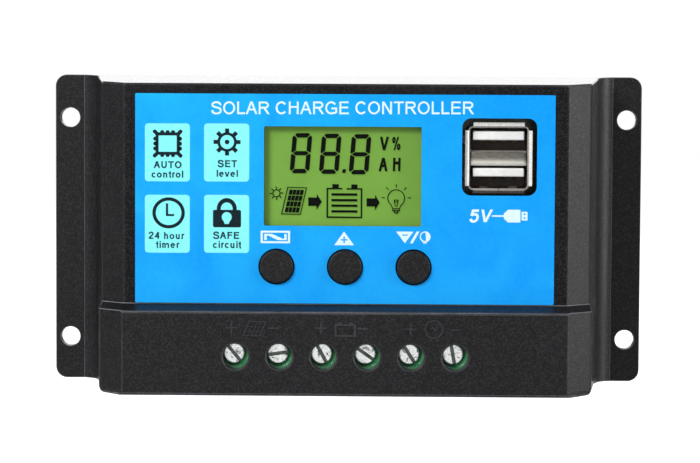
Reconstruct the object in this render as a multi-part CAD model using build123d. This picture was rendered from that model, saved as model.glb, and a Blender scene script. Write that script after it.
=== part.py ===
from build123d import *

import math
import os

# Wall-mounted solar charge controller: a front housing and back plate enclosing a board that
# carries a segment display, three push buttons, stacked USB sockets and a six-way terminal block.
#
# Shapes are drawn lying on their back: x right, y up the wall, z out of the wall, with the
# origin on the wall plane at the centre of the wall-screw holes. export_piece() stands them
# up into the part frame: X right, Z up, front facing -Y. All sizes are in millimetres.

os.makedirs("parts", exist_ok=True)

# ---------------------------------------------------------------- housing
WIDTH = 133.7          # over the two mounting wings
TOP_Y = 34.85
BOTTOM_Y = -34.65
DEPTH = 35.0           # wall to the face of the terminal cover
WALL = 2.0
WING_T = 2.5
WING_R = 2.6
WALL_HOLE_DX = 127.0
WALL_HOLE_DY = 50.2
WALL_HOLE_D = 4.4

CREASE_X = 60.27       # where the flat wing turns up into the ramp
RAMP_X = 56.6
RAMP_Z = 7.5
FACE_X = 48.2          # half width of both front faces
DISPLAY_Z = 30.8
DISPLAY_SHOULDER = (53.58, 26.0)   # x, z at the foot of the display chamfer
COVER_SHOULDER = (53.75, 30.0)     # x, z at the foot of the terminal cover chamfer
DISPLAY_EDGE_R = 0.7
SHOULDER_R = 1.8
TOP_FRONT_Y = 32.93    # the top wall leans in to here at the display face
STEP_FOOT_Y = -15.0    # the step between display face and terminal cover
STEP_HEAD_Y = -16.35
RIM_R = 0.5

# ---------------------------------------------------------------- back plate and board
PLATE_T = 1.5
PLATE_X = 56.4         # half width
PLATE_Y = 33.6         # half height
PLATE_POSTS = [(x, y) for x in (-50.3, 50.3) for y in (-28.6, 28.6)]

BOARD_BACK = 10.4
BOARD_FRONT = 12.0
BOARD_EDGES = (-52.4, 52.4, -32.2, 31.0)       # x0, x1, y0, y1
BOARD_POSTS = [(-47.0, 22.0), (47.0, 22.0), (-47.0, -11.5), (47.0, -11.5)]
PIN_PITCH = 2.54

TRANSISTOR_XS = (-32.0, -14.0, 4.0)
TRANSISTOR_HOLE_Y = 17.0
TRANSISTOR_HOLE_R = 1.6
PAD_FRONT = PLATE_T + 0.3
TAB_FRONT = PAD_FRONT + 1.3
BODY_FRONT = PAD_FRONT + 4.5

# ---------------------------------------------------------------- front features
# Rectangles are x0, x1, y0, y1.
LABEL = (-45.75, 45.3, -14.8, 30.7)
LABEL_T = 0.2
WINDOW = (-17.8, 16.4, 2.1, 23.7)
WINDOW_R = 0.4
LCD_X0, LCD_X1, LCD_Y0, LCD_Y1 = -21.6, 20.2, -1.2, 27.0
LCD_FRONT = 29.6

BUTTONS = {"left": -15.0, "middle": -0.1, "right": 14.8}
BUTTON_Y = -6.8
BUTTON_HOLE_R = 3.95
BUTTON_R = 3.65
BUTTON_FRONT = 31.75

USB_OPENING = (25.15, 41.4, 8.9, 25.65)
USB_X0, USB_X1, USB_Y0, USB_Y1 = 26.6, 39.7, 10.1, 23.9
USB_X = (USB_X0 + USB_X1) / 2
USB_FRONT = 29.7
USB_T = 0.3

# ---------------------------------------------------------------- terminals
PITCH = 9.5
POLES = 6
POLE_MID = -0.3
COVER_HOLE_MID = 0.15
POLE_STEPS = [(pole - (POLES - 1) / 2) * PITCH for pole in range(POLES)]
POLE_XS = [POLE_MID + step for step in POLE_STEPS]
COVER_HOLE_XS = [COVER_HOLE_MID + step for step in POLE_STEPS]
POLE_Y = -25.6
COVER_HOLE_Y = -26.08
COVER_HOLE_R = 2.8
BLOCK_X0 = POLE_MID - POLES / 2 * PITCH - 0.9
BLOCK_X1 = POLE_MID + POLES / 2 * PITCH + 0.9
BLOCK_Y0 = -34.4       # wire side
BLOCK_STEP_Y = -32.5
BLOCK_Y1 = -19.4
BLOCK_STEP_Z = 26.1
BLOCK_FRONT = 32.6
BAR_BACK = 20.6
BAR_FRONT = 21.6
BAR_FOOT_Y0 = -21.1
BAR_FOOT_Y1 = -20.5
CAGE_BACK = 14.3
CAGE_FRONT = CAGE_BACK + 9.2
SCREW_HEAD_R = 2.14
SCREW_HEAD_FRONT = 32.1
SCREW_R = 1.75         # M3.5
SLOT_ANGLES = (-50.0, 8.0, -61.0, -35.0, -57.0, -80.0)   # degrees


# ---------------------------------------------------------------- helpers
def box(x0, x1, y0, y1, z0, z1):
    """A box between limits; each pair of limits may be given in either order."""
    middle = Pos((x0 + x1) / 2, (y0 + y1) / 2, (z0 + z1) / 2)
    return middle * Box(abs(x1 - x0), abs(y1 - y0), abs(z1 - z0))


def box_at(x, y, width, height, z0, z1):
    return Pos(x, y, (z0 + z1) / 2) * Box(width, height, z1 - z0)


def cylinder(x, y, z0, z1, radius):
    return Pos(x, y, (z0 + z1) / 2) * Cylinder(radius, z1 - z0)


def cone(x, y, z0, z1, radius0, radius1):
    return Pos(x, y, (z0 + z1) / 2) * Cone(radius0, radius1, z1 - z0)


def rounded(x0, x1, y0, y1, z0, z1, radius):
    middle = Pos((x0 + x1) / 2, (y0 + y1) / 2, z0)
    return extrude(middle * RectangleRounded(x1 - x0, y1 - y0, radius), amount=z1 - z0)


def polygon(points):
    return make_face(Polyline(*points, close=True)).face()


def extrude_y(face, y0, y1):
    """An x-z face extruded up the wall."""
    return extrude(Plane.XZ.offset(-y0) * face, amount=-(y1 - y0))


def prism_y(xz_points, y0, y1):
    return extrude_y(polygon(xz_points), y0, y1)


def prism_x(yz_points, x0=-80.0, x1=80.0):
    """A y-z outline swept across, by default wider than the whole part."""
    return extrude(Plane.YZ.offset(x0) * polygon(yz_points), amount=x1 - x0)


def mirrored(points):
    """The points on the other side of x = 0, in reverse order to continue an outline."""
    return [(-x, z) for x, z in reversed(points)]


def round_corners(face, corners):
    """Round the corner at each (x, z), and its mirror image, to the radius beside it."""
    for (corner_x, corner_z), radius in corners:
        for side_x in (corner_x, -corner_x):
            near = [
                p for p in face.vertices()
                if abs(p.X - side_x) < 0.02 and abs(p.Y - corner_z) < 0.02
            ]
            face = face.fillet_2d(radius, near)
    return face


def cut_cross(screw, x, y, z, angle, length, width, height):
    """Cut a cross recess, centred on z, into a screw head."""
    for turn in (0, 90):
        screw -= Pos(x, y, z) * Rot(0, 0, turn + angle) * Box(length, width, height)
    return screw


def export_piece(shapes, name):
    """Stand the shapes up and write them as one STEP file."""
    parts = shapes if isinstance(shapes, (list, tuple)) else [shapes]
    solids = []
    for part in parts:
        solids += list((Rot(90, 0, 0) * part).solids())
    whole = solids[0] if len(solids) == 1 else Compound(children=solids)
    whole.label = name
    export_step(whole, f"parts/{name}.step")


board_holes = []       # x, y, radius; filled as the leaded parts are made


def drill(x, y, radius):
    board_holes.append((x, y, radius))


# ---------------------------------------------------------------- front housing
def outline(upper=()):
    """x-z outline of wings and curved ramps, with the upper points between the ramps."""
    rise = RAMP_Z - WING_T
    run = CREASE_X - RAMP_X
    radius = (run * run + rise * rise) / (2 * run)
    centre_x = RAMP_X + radius
    crease_angle = math.atan2(-rise, CREASE_X - centre_x) + 2 * math.pi
    mid_angle = (crease_angle + math.pi) / 2
    mid_x = centre_x + radius * math.cos(mid_angle)
    mid_z = RAMP_Z + radius * math.sin(mid_angle)

    wing = [(WIDTH / 2, 0), (WIDTH / 2, WING_T), (CREASE_X, WING_T)]
    far_wing = mirrored(wing)
    over = [(RAMP_X, RAMP_Z), *upper]
    over += mirrored(over)
    curve = Line(wing[0], wing[1]) + Line(wing[1], wing[2])
    curve += ThreePointArc(wing[2], (mid_x, mid_z), over[0])
    for start, end in zip(over, over[1:]):
        curve += Line(start, end)
    curve += ThreePointArc(over[-1], (-mid_x, mid_z), far_wing[0])
    curve += Line(far_wing[0], far_wing[1])
    curve += Line(far_wing[1], far_wing[2])
    curve += Line(far_wing[2], wing[0])
    return make_face(curve).face()


def top_wall_y(z):
    return TOP_Y + (TOP_FRONT_Y - TOP_Y) * (z - WING_T) / (DISPLAY_Z - WING_T)


def display_part():
    face_corner = (FACE_X, DISPLAY_Z)
    face = round_corners(
        outline([DISPLAY_SHOULDER, face_corner]),
        [(face_corner, DISPLAY_EDGE_R), (DISPLAY_SHOULDER, SHOULDER_R)],
    )
    part = extrude_y(face, -18.0, TOP_Y)
    part -= prism_x([(top_wall_y(WING_T), WING_T), (top_wall_y(40), 40), (60, 40), (60, WING_T)])
    # soften the rim round the top
    rim = [
        e for e in part.edges()
        if min(p.Y for p in e.vertices()) > 32 and min(p.Z for p in e.vertices()) > 7
    ]
    return fillet(rim, 0.5)


def cover_slice(y, face_corner, shoulder, foot_x, edge_radius):
    """The terminal cover's outline at one height."""
    half = [(foot_x, RAMP_Z), shoulder, face_corner]
    corners = [(shoulder, SHOULDER_R), (face_corner, edge_radius)]
    return Plane.XZ.offset(-y) * round_corners(polygon(half + mirrored(half)), corners)


def rim_slice(y, face_z, inset=0.0):
    """A slice where the face is set back to face_z and the walls are drawn in by inset."""
    shoulder_x, shoulder_z = COVER_SHOULDER
    grow = (shoulder_x - FACE_X) / (DEPTH - shoulder_z)
    face_corner = (FACE_X + (DEPTH - face_z) * grow, face_z)
    return cover_slice(y, face_corner, (shoulder_x - inset, shoulder_z), RAMP_X - inset, RIM_R)


# height above the bottom, set-back of the face, inset of the walls
COVER_FOOT = ((0, RIM_R, 1.2), (0.15, 0.15, 0.62), (0.5, 0, 0.25), (1.2, 0, 0))


def terminal_cover():
    """Lofted from a rounded foot, up the flat face, over a rounded head and down the step."""
    slices = [
        rim_slice(BOTTOM_Y + height, DEPTH - setback, inset)
        for height, setback, inset in COVER_FOOT
    ]
    slope = math.atan2(DEPTH - DISPLAY_Z, STEP_FOOT_Y - STEP_HEAD_Y)
    tangent_y = STEP_HEAD_Y - RIM_R * math.tan(slope / 2)
    for angle in (0.0, slope / 2, slope):
        face_z = DEPTH - RIM_R + RIM_R * math.cos(angle)
        slices.append(rim_slice(tangent_y + RIM_R * math.sin(angle), face_z))
    slices.append(
        cover_slice(
            STEP_FOOT_Y, (FACE_X, DISPLAY_Z), DISPLAY_SHOULDER, RAMP_X, DISPLAY_EDGE_R
        )
    )
    cover = None
    for low, high in zip(slices, slices[1:]):
        wires = [low.face().outer_wire(), high.face().outer_wire()]
        piece = Solid.make_loft(wires, ruled=True)
        cover = piece if cover is None else cover + piece
    return cover


def hollow(shoulder, roof_z, y1):
    half = [(54.4, PLATE_T - 1), (54.4, RAMP_Z), shoulder, (47.4, roof_z)]
    return prism_y(half + mirrored(half), -32.8, y1)


def cavity():
    display_roof = DISPLAY_Z - WALL
    cover_roof = DEPTH - WALL
    back = PLATE_T - 3
    under_display = hollow((51.5, 25.2), display_roof, 33.5) - prism_x(
        [(33.0, back), (30.9, display_roof), (30.4, 40), (60, 40), (60, back)]
    )
    under_cover = hollow((51.9, 29.2), cover_roof, -12.0) - prism_x([
        (-17.1, 20), (-17.1, display_roof), (-18.4, cover_roof),
        (-19.1, 36), (60, 36), (60, 20),
    ])
    return under_display + under_cover


def cut_usb_and_buttons(part):
    part -= rounded(*USB_OPENING, 20, 40, 2.0)
    for x in BUTTONS.values():
        part -= cylinder(x, BUTTON_Y, 20, 40, BUTTON_HOLE_R)
    return part


def front_housing():
    housing = display_part() + extrude_y(outline(), BOTTOM_Y, -17.0) + terminal_cover()

    # wing corners and wall-screw holes
    for side in (-1, 1):
        for end in (-1, 1):
            edge = TOP_Y if end > 0 else BOTTOM_Y
            x, y = side * (WIDTH / 2 - WING_R), edge - end * WING_R
            corner = box(x, side * (WIDTH / 2 + 1), y, edge + end, -1, WING_T + 1)
            housing -= corner - cylinder(x, y, -2, WING_T + 2, WING_R)
            hole_x, hole_y = side * WALL_HOLE_DX / 2, end * WALL_HOLE_DY / 2
            housing -= cylinder(hole_x, hole_y, -1, WING_T + 1, WALL_HOLE_D / 2)

    housing -= cavity()

    # rebate for the back plate
    gap = 0.2
    rebate_x, rebate_y = PLATE_X + gap, PLATE_Y + gap
    housing -= rounded(-rebate_x, rebate_x, -rebate_y, rebate_y, -1, PLATE_T, 2.0)

    # posts for the back plate and the board, then their screw holes
    for x, y in PLATE_POSTS:
        housing += cylinder(x, y, PLATE_T, 24.0, 3.2) & box(-53.9, 53.9, -34, 32.3, 0, 30)
    for x, y in BOARD_POSTS:
        housing += cylinder(x, y, BOARD_FRONT, DISPLAY_Z - WALL + 0.5, 2.5)
    for x, y in PLATE_POSTS:
        housing -= cylinder(x, y, PLATE_T - 1, 12.0, 1.2)
    for x, y in BOARD_POSTS:
        housing -= cylinder(x, y, BOARD_FRONT - 1, 19.0, 0.95)

    # window with the display's pocket behind it, and the other front openings
    housing -= rounded(*WINDOW, 20, 40, WINDOW_R)
    gap = 0.3
    housing -= rounded(
        LCD_X0 - gap, LCD_X1 + gap, LCD_Y0 - gap, LCD_Y1 + gap, 20, LCD_FRONT + 0.05, 0.5
    )
    housing = cut_usb_and_buttons(housing)
    for x in COVER_HOLE_XS:
        housing -= cylinder(x, COVER_HOLE_Y, 30, 40, COVER_HOLE_R)
        housing -= cone(
            x, COVER_HOLE_Y, DEPTH - 0.25, DEPTH + 0.05, COVER_HOLE_R - 0.01, COVER_HOLE_R + 0.26
        )

    # wire slot in the bottom wall
    housing -= box(BLOCK_X0 - gap, BLOCK_X1 + gap, -40, -31, BOARD_BACK - gap, 26.4)
    return housing


export_piece(front_housing(), "front_housing")


def face_label():
    label = rounded(*LABEL, DISPLAY_Z, DISPLAY_Z + LABEL_T, 0.3)
    label -= rounded(*WINDOW, 20, 40, WINDOW_R)
    return cut_usb_and_buttons(label)


export_piece(face_label(), "face_label")


# ---------------------------------------------------------------- back plate
def back_plate():
    plate = rounded(-PLATE_X, PLATE_X, -PLATE_Y, PLATE_Y, 0, PLATE_T, 1.8)
    for x, y in PLATE_POSTS:
        plate -= cylinder(x, y, -1, 3, 1.6)
        plate -= cone(x, y, -0.01, 1.2, 2.8, 1.6)
    for x in TRANSISTOR_XS:
        plate -= cylinder(x, TRANSISTOR_HOLE_Y, -1, 3, TRANSISTOR_HOLE_R)
        plate -= cone(x, TRANSISTOR_HOLE_Y, -0.01, 1.25, 2.9, TRANSISTOR_HOLE_R)
    return plate


def plate_screw(x, y):
    shank_r = 1.17
    length = 9.5
    screw = cone(x, y, 0.05, 1.15, 2.6, 1.5) + cylinder(x, y, 1.1, length - 0.8, shank_r)
    screw += cone(x, y, length - 0.8, length, shank_r, 0.5)
    return cut_cross(screw, x, y, 0, angle=20, length=3.0, width=0.55, height=1.6)


export_piece(back_plate(), "back_plate")
export_piece([plate_screw(x, y) for x, y in PLATE_POSTS], "plate_screws")


# ---------------------------------------------------------------- power transistors on the plate
def thermal_pad():
    first, last = TRANSISTOR_XS[0], TRANSISTOR_XS[-1]
    pad = rounded(first - 7, last + 7, -1.5, 22.0, PLATE_T, PAD_FRONT, 1.0)
    for x in TRANSISTOR_XS:
        pad -= cylinder(x, TRANSISTOR_HOLE_Y, 0, 4, TRANSISTOR_HOLE_R)
    return pad


def transistor_tab(x):
    tab = box(x - 5.0, x + 5.0, 4.6, 20.0, PAD_FRONT, TAB_FRONT)
    tab -= cylinder(x, TRANSISTOR_HOLE_Y, 0, 5, 1.8)
    # a notch in each side
    tab -= box(x - 6, x - 4.4, 13.5, 14.6, 0, 5) + box(x + 4.4, x + 6, 13.5, 14.6, 0, 5)
    return tab


def transistor_body(x):
    body = box(x - 5.0, x + 5.0, 4.6, 13.2, TAB_FRONT, BODY_FRONT)
    body = chamfer(body.edges().filter_by(Axis.X).sort_by(Axis.Z)[-2:], 0.5)
    body += box(x - 5.0, x + 5.0, 4.0, 4.6, PAD_FRONT, BODY_FRONT)
    return body


def transistor_leg(x):
    """Runs down out of the body, then forward through the board."""
    back = PAD_FRONT + 2.4
    leg = box(x - 0.4, x + 0.4, 0.6, 4.0, back, back + 0.5)
    leg += box(x - 0.4, x + 0.4, 0.6, 1.1, back, 13.2)
    return leg


def transistor_screw(x):
    y = TRANSISTOR_HOLE_Y
    screw = cone(x, y, 0.05, 1.2, 2.7, 1.55) + cylinder(x, y, 1.15, 6.6, 1.5)
    return cut_cross(screw, x, y, 0, angle=35, length=3.2, width=0.6, height=1.7)


def transistor_nut(x):
    hexagon = Pos(x, TRANSISTOR_HOLE_Y, TAB_FRONT) * RegularPolygon(3.1, 6)
    return extrude(hexagon, amount=2.3) - cylinder(x, TRANSISTOR_HOLE_Y, 0, 9, 1.55)


TRANSISTOR_LEG_XS = [x + PIN_PITCH * step for x in TRANSISTOR_XS for step in (-1, 0, 1)]

export_piece(thermal_pad(), "thermal_pad")
export_piece([transistor_tab(x) for x in TRANSISTOR_XS], "transistor_tabs")
export_piece([transistor_body(x) for x in TRANSISTOR_XS], "transistor_bodies")
export_piece([transistor_leg(x) for x in TRANSISTOR_LEG_XS], "transistor_legs")
export_piece([transistor_screw(x) for x in TRANSISTOR_XS], "transistor_screws")
export_piece([transistor_nut(x) for x in TRANSISTOR_XS], "transistor_nuts")


# ---------------------------------------------------------------- board screws
def board_screw(x, y):
    head_back = BOARD_BACK - 1.5
    screw = cylinder(x, y, head_back, BOARD_BACK, 2.1)
    screw = fillet(screw.edges().sort_by(Axis.Z)[0], 0.6)
    screw += cylinder(x, y, BOARD_BACK - 0.1, 16.6, 0.92)
    screw += cone(x, y, 16.6, 17.4, 0.92, 0.3)
    return cut_cross(screw, x, y, head_back, angle=10, length=2.2, width=0.5, height=1.6)


export_piece([board_screw(x, y) for x, y in BOARD_POSTS], "board_screws")

# ---------------------------------------------------------------- display module
POLARISER_BACK = LCD_FRONT - 0.2
FRONT_GLASS_BACK = POLARISER_BACK - 0.7
REAR_GLASS_BACK = FRONT_GLASS_BACK - 0.7
BACKLIGHT_BACK = 24.2


def lcd_polariser():
    x0, x1 = LCD_X0 + 1.5, LCD_X1 - 1.5
    return box(x0, x1, LCD_Y0 + 1.8, LCD_Y1 - 1.0, POLARISER_BACK, LCD_FRONT)


def lcd_front_glass():
    return box(LCD_X0, LCD_X1, LCD_Y0 + 1.4, LCD_Y1, FRONT_GLASS_BACK, POLARISER_BACK)


def lcd_rear_glass():
    return box(LCD_X0, LCD_X1, LCD_Y0, LCD_Y1, REAR_GLASS_BACK, FRONT_GLASS_BACK)


def lcd_backlight():
    x0, x1 = LCD_X0 + 0.4, LCD_X1 - 0.4
    light = box(x0, x1, LCD_Y0 + 0.6, LCD_Y1 - 0.4, BACKLIGHT_BACK, REAR_GLASS_BACK)
    # block on the right-hand end, which carries the leads
    light += box(x1, LCD_X1 + 1.4, LCD_Y0 + 4.0, LCD_Y1 - 4.0, BACKLIGHT_BACK, 27.2)
    return light


def backlight_lead(y):
    x = LCD_X1 + 0.9
    drill(x, y, 0.45)
    return box_at(x, y, 0.5, 0.5, 9.6, BACKLIGHT_BACK)


def lcd_pin(x):
    y = LCD_Y0 - 0.125
    drill(x, y, 0.45)
    return box_at(x, y, 0.5, 0.25, 9.6, FRONT_GLASS_BACK)


export_piece(lcd_polariser(), "lcd_polariser")
export_piece(lcd_front_glass(), "lcd_front_glass")
export_piece(lcd_rear_glass(), "lcd_rear_glass")
export_piece(lcd_backlight(), "lcd_backlight")
export_piece([backlight_lead(y) for y in (LCD_Y0 + 7.0, LCD_Y1 - 7.0)], "backlight_leads")
export_piece([lcd_pin(LCD_X0 + 6.7 + n * PIN_PITCH) for n in range(12)], "lcd_pins")

# ---------------------------------------------------------------- push buttons and switches
SWITCH_FRONT = 15.4
SWITCH_FLOOR = 12.7


def switch_base(x):
    base = box_at(x, BUTTON_Y, 6.2, 6.2, BOARD_FRONT, SWITCH_FRONT)
    base = chamfer(base.edges().filter_by(Axis.Z), 0.5)
    return base - cylinder(x, BUTTON_Y, SWITCH_FLOOR, 20, 2.35)


def switch_cover(x):
    cover = box_at(x, BUTTON_Y, 6.0, 6.0, SWITCH_FRONT, SWITCH_FRONT + 0.25)
    return cover - cylinder(x, BUTTON_Y, 10, 20, 1.85)


def switch_dome(x):
    shell = Pos(x, BUTTON_Y, 11.05) * (Sphere(2.7) - Sphere(2.58))
    return shell & cylinder(x, BUTTON_Y, SWITCH_FLOOR, 14, 2.3)


def switch_leg(x, side, y):
    """A leg through the board, with a short foot back to the switch's side wall."""
    inner_x, outer_x = x + side * 3.25, x + side * 3.55
    y0, y1 = y - 0.35, y + 0.35
    leg = box(inner_x, outer_x, y0, y1, 9.4, 13.6)
    leg += box(x + side * 3.1, outer_x, y0, y1, 13.3, 13.6)
    drill((inner_x + outer_x) / 2, y, 0.5)
    return leg


def switch_plunger(x):
    plunger = cylinder(x, BUTTON_Y, 14.1, 18.0, 1.75) + cylinder(x, BUTTON_Y, 14.1, 15.2, 2.2)
    return chamfer(plunger.edges().sort_by(Axis.Z)[-1], 0.25)


def button(x):
    flange_back = 27.0
    cap = cylinder(x, BUTTON_Y, flange_back, BUTTON_FRONT, BUTTON_R)
    cap = fillet(cap.edges().sort_by(Axis.Z)[-1], 0.4)
    cap += cylinder(x, BUTTON_Y, flange_back, 28.4, 4.9)
    cap += cylinder(x, BUTTON_Y, 18.05, flange_back, 2.3)
    cap -= cylinder(x, BUTTON_Y, 19.5, 29.5, 1.3)
    return cap


for place, x in BUTTONS.items():
    export_piece(switch_plunger(x), f"switch_plunger_{place}")
    export_piece(button(x), f"button_{place}")
export_piece([switch_base(x) for x in BUTTONS.values()], "switch_bases")
export_piece([switch_cover(x) for x in BUTTONS.values()], "switch_covers")
export_piece([switch_dome(x) for x in BUTTONS.values()], "switch_domes")
switch_legs = [
    switch_leg(x, side, BUTTON_Y + offset)
    for x in BUTTONS.values() for side in (-1, 1) for offset in (-2.25, 2.25)
]
export_piece(switch_legs, "switch_legs")

# ---------------------------------------------------------------- stacked USB sockets
USB_INNER = (USB_X0 + USB_T, USB_X1 - USB_T, USB_Y0 + USB_T, USB_Y1 - USB_T)
DIVIDER_X0, DIVIDER_X1 = USB_INNER[0] + 0.1, USB_INNER[1] - 0.1
DIVIDER_Y0, DIVIDER_Y1 = 15.35, 18.6
DIVIDER_FRONT = USB_FRONT - 0.5
TONGUES = ((20.9, 22.85), (12.95, 14.8))       # y0, y1
CONTACTS = [(USB_X + step, y0) for y0, _ in TONGUES for step in (-3.5, -1.0, 1.0, 3.5)]


def lip_profile(base, tip, drop=0.0):
    """A flared lip from the wall face at base out to tip, the tip set back by drop."""
    out = 1 if tip > base else -1
    front = USB_FRONT
    return [
        (base - out * USB_T, front - 1.05), (base - out * USB_T, front - 0.75),
        (base - out * 0.08, front - 0.2), (base + out * 0.12, front - 0.06),
        (tip, front - drop), (tip, front - 0.3 - drop),
        (base + out * 0.14, front - 0.42), (base, front - 0.75), (base, front - 1.05),
    ]


def usb_shell():
    x0, x1, y0, y1 = USB_INNER
    shell = rounded(USB_X0, USB_X1, USB_Y0, USB_Y1, BOARD_FRONT + 0.1, USB_FRONT - 0.35, 0.9)
    shell -= rounded(*USB_INNER, 11, 40, 0.6)

    # flared lips on the left, right, top and bottom of the mouth
    side_lip = (USB_Y0 + 0.85, USB_Y1 - 0.9)
    end_lip = (USB_X0 + 1.05, USB_X1 - 0.95)
    shell += prism_y(lip_profile(USB_X0, USB_X0 - 0.72), *side_lip)
    shell += prism_y(lip_profile(USB_X1, USB_X1 + 0.76), *side_lip)
    shell += prism_x(lip_profile(USB_Y1, USB_Y1 + 0.85), *end_lip)
    shell += prism_x(lip_profile(USB_Y0, USB_Y0 - 0.75, drop=0.5), *end_lip)
    # seam in the bottom wall
    shell -= box(USB_X - 0.08, USB_X + 0.08, USB_Y0 - 2, USB_Y0 + 0.5, 11, 40)

    # leaf springs that grip the plug, pressed in from the shell walls
    for inward, wall_y in ((-1, y1), (1, y0)):
        for x in (USB_X - 3.2, USB_X + 3.2):
            profile = [
                (wall_y - inward * 0.1, 21.0), (wall_y + inward * 0.45, 26.2),
                (wall_y + inward * 0.45, 26.5), (wall_y + inward * 0.1, 27.6),
                (wall_y - inward * 0.1, 27.6),
            ]
            shell += prism_x(profile, x - 0.9, x + 0.9)
    for y in (USB_Y0 + 2.2, USB_Y1 - 2.4):
        for inward, wall_x in ((1, x0), (-1, x1)):
            profile = [
                (wall_x - inward * 0.1, 21.0), (wall_x + inward * 0.3, 26.0),
                (wall_x + inward * 0.3, 26.3), (wall_x - inward * 0.1, 27.6),
            ]
            shell += prism_y(profile, y - 0.7, y + 0.7)

    # mounting legs through the board
    for x in (USB_X0, x1):
        for y in (USB_Y0 + 2.0, USB_Y1 - 4.2):
            shell += box(x, x + USB_T, y, y + 2.0, 9.3, BOARD_FRONT + 0.3)
            drill(x + USB_T / 2, y + 1.0, 1.15)
    return shell


def usb_divider():
    divider = rounded(
        DIVIDER_X0, DIVIDER_X1, DIVIDER_Y0, DIVIDER_Y1, 20.2, DIVIDER_FRONT, 0.25
    )
    # round the lower front edge
    edges = [
        e for e in divider.edges()
        if e.center().Z > DIVIDER_FRONT - 0.05 and e.length > 8
        and e.center().Y < DIVIDER_Y0 + 0.1
    ]
    divider = fillet(edges, 0.8)
    divider -= box(
        DIVIDER_X0 + USB_T, DIVIDER_X1 - USB_T, DIVIDER_Y0 + USB_T, DIVIDER_Y1 - USB_T,
        15, DIVIDER_FRONT - USB_T - 0.5,
    )
    return divider


def usb_insulator():
    """The block at the back of the shell, with two tongues grooved for the contacts."""
    x0, x1, y0, y1 = USB_INNER
    gap = 0.05
    insulator = rounded(x0 + gap, x1 - gap, y0 + gap, y1 - gap, BOARD_FRONT + 0.1, 20.0, 0.6)
    for tongue_y0, tongue_y1 in TONGUES:
        tongue = rounded(27.6, 38.75, tongue_y0, tongue_y1, 19.5, 28.6, 0.2)
        edges = [e for e in tongue.edges() if e.center().Z > 28.5 and e.length > 5]
        insulator += fillet(edges, 0.3)
    for x, y in CONTACTS:
        insulator -= box(x - 0.55, x + 0.55, y - 0.42, y + 0.45, 11, 28.0)
    return insulator


def usb_contact(x, y):
    profile = [
        (y + 0.40, 9.5), (y + 0.40, 24.2), (y - 0.30, 26.6), (y + 0.12, 27.9),
        (y - 0.05, 27.95), (y - 0.50, 26.6), (y + 0.15, 24.1), (y + 0.15, 9.5),
    ]
    drill(x, y + 0.275, 0.62)
    return prism_x(profile, x - 0.45, x + 0.45)


export_piece(usb_shell(), "usb_shell")
export_piece(usb_divider(), "usb_divider")
export_piece(usb_insulator(), "usb_insulator")
export_piece([usb_contact(x, y) for x, y in CONTACTS], "usb_contacts")


# ---------------------------------------------------------------- terminal block
def terminal_block():
    block = box(BLOCK_X0, BLOCK_X1, BLOCK_Y0, BLOCK_Y1, BOARD_FRONT, BLOCK_STEP_Z)
    edges = [e for e in block.edges().filter_by(Axis.X) if e.center().Y < BLOCK_Y0 + 0.1]
    block = chamfer(edges, 0.4)
    block += box(BLOCK_X0, BLOCK_X1, BLOCK_STEP_Y, BLOCK_Y1, BLOCK_STEP_Z - 0.1, BLOCK_FRONT)
    slot_front = BAR_FRONT + 0.05
    for x in POLE_XS:
        # cage shaft, wire entry and screw hole
        block -= box(x - 3.7, x + 3.7, -31.2, -21.2, 14.1, 28.4)
        block -= extrude_y(Pos(x, 17.95) * RectangleRounded(6.2, 5.2, 0.6), -36.0, -30.0)
        block -= cylinder(x, POLE_Y, 29.6, 40, 2.35)
        block -= cylinder(x, POLE_Y, 28, 30, SCREW_R + 0.07)
        block -= cone(x, POLE_Y, BLOCK_FRONT - 1.15, BLOCK_FRONT + 0.01, 2.35, 3.05)
        # slot that holds the contact bar
        block -= box(x - 2.65, x + 2.65, -32.3, -20.4, BAR_BACK - 0.05, slot_front)
        block -= box(x - 2.65, x + 2.65, -21.3, -20.4, 10, slot_front)
    # grooves between the poles on the wire side
    for x in POLE_XS[:-1]:
        groove_x = x + PITCH / 2
        block -= box(groove_x - 0.4, groove_x + 0.4, BLOCK_Y0 - 1, BLOCK_Y0 + 0.6, 10, 27)
    return block


def contact_bar(x):
    """A bar across the cage, turned back towards the board and ending in a solder pin."""
    foot = (BAR_FOOT_Y0, BAR_FOOT_Y1)
    bar = box(x - 2.6, x + 2.6, -32.2, BAR_FOOT_Y1, BAR_BACK, BAR_FRONT)
    bar += box(x - 2.6, x + 2.6, *foot, BOARD_FRONT + 0.4, BAR_FRONT)
    bar += box(x - 1.0, x + 1.0, *foot, 9.2, BOARD_FRONT + 0.5)
    bar -= cylinder(x, POLE_Y, BAR_FRONT - 0.15, BAR_FRONT + 1, 1.9)
    drill(x, sum(foot) / 2, 1.15)
    return bar


def wire_cage(x):
    cage = box(x - 3.5, x + 3.5, -30.9, -21.5, CAGE_BACK, CAGE_FRONT)
    cage = fillet(cage.edges().filter_by(Axis.Y), 0.7)
    cage -= box(x - 2.75, x + 2.75, -35, -15, CAGE_BACK + 1.0, CAGE_FRONT - 1.6)
    cage -= cylinder(x, POLE_Y, CAGE_BACK + 5, 40, SCREW_R + 0.06)
    return cage


def terminal_screw(x, slot_angle):
    head = cylinder(x, POLE_Y, 29.65, SCREW_HEAD_FRONT, SCREW_HEAD_R)
    head = fillet(head.edges().sort_by(Axis.Z)[-1], 0.18)
    shank = cylinder(x, POLE_Y, 22.6, 29.8, SCREW_R)
    screw = head + shank + cone(x, POLE_Y, BAR_FRONT + 0.02, 22.7, 1.2, SCREW_R)
    screw -= Pos(x, POLE_Y, SCREW_HEAD_FRONT) * Rot(0, 0, slot_angle) * Box(6, 0.75, 2.2)
    return screw


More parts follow.
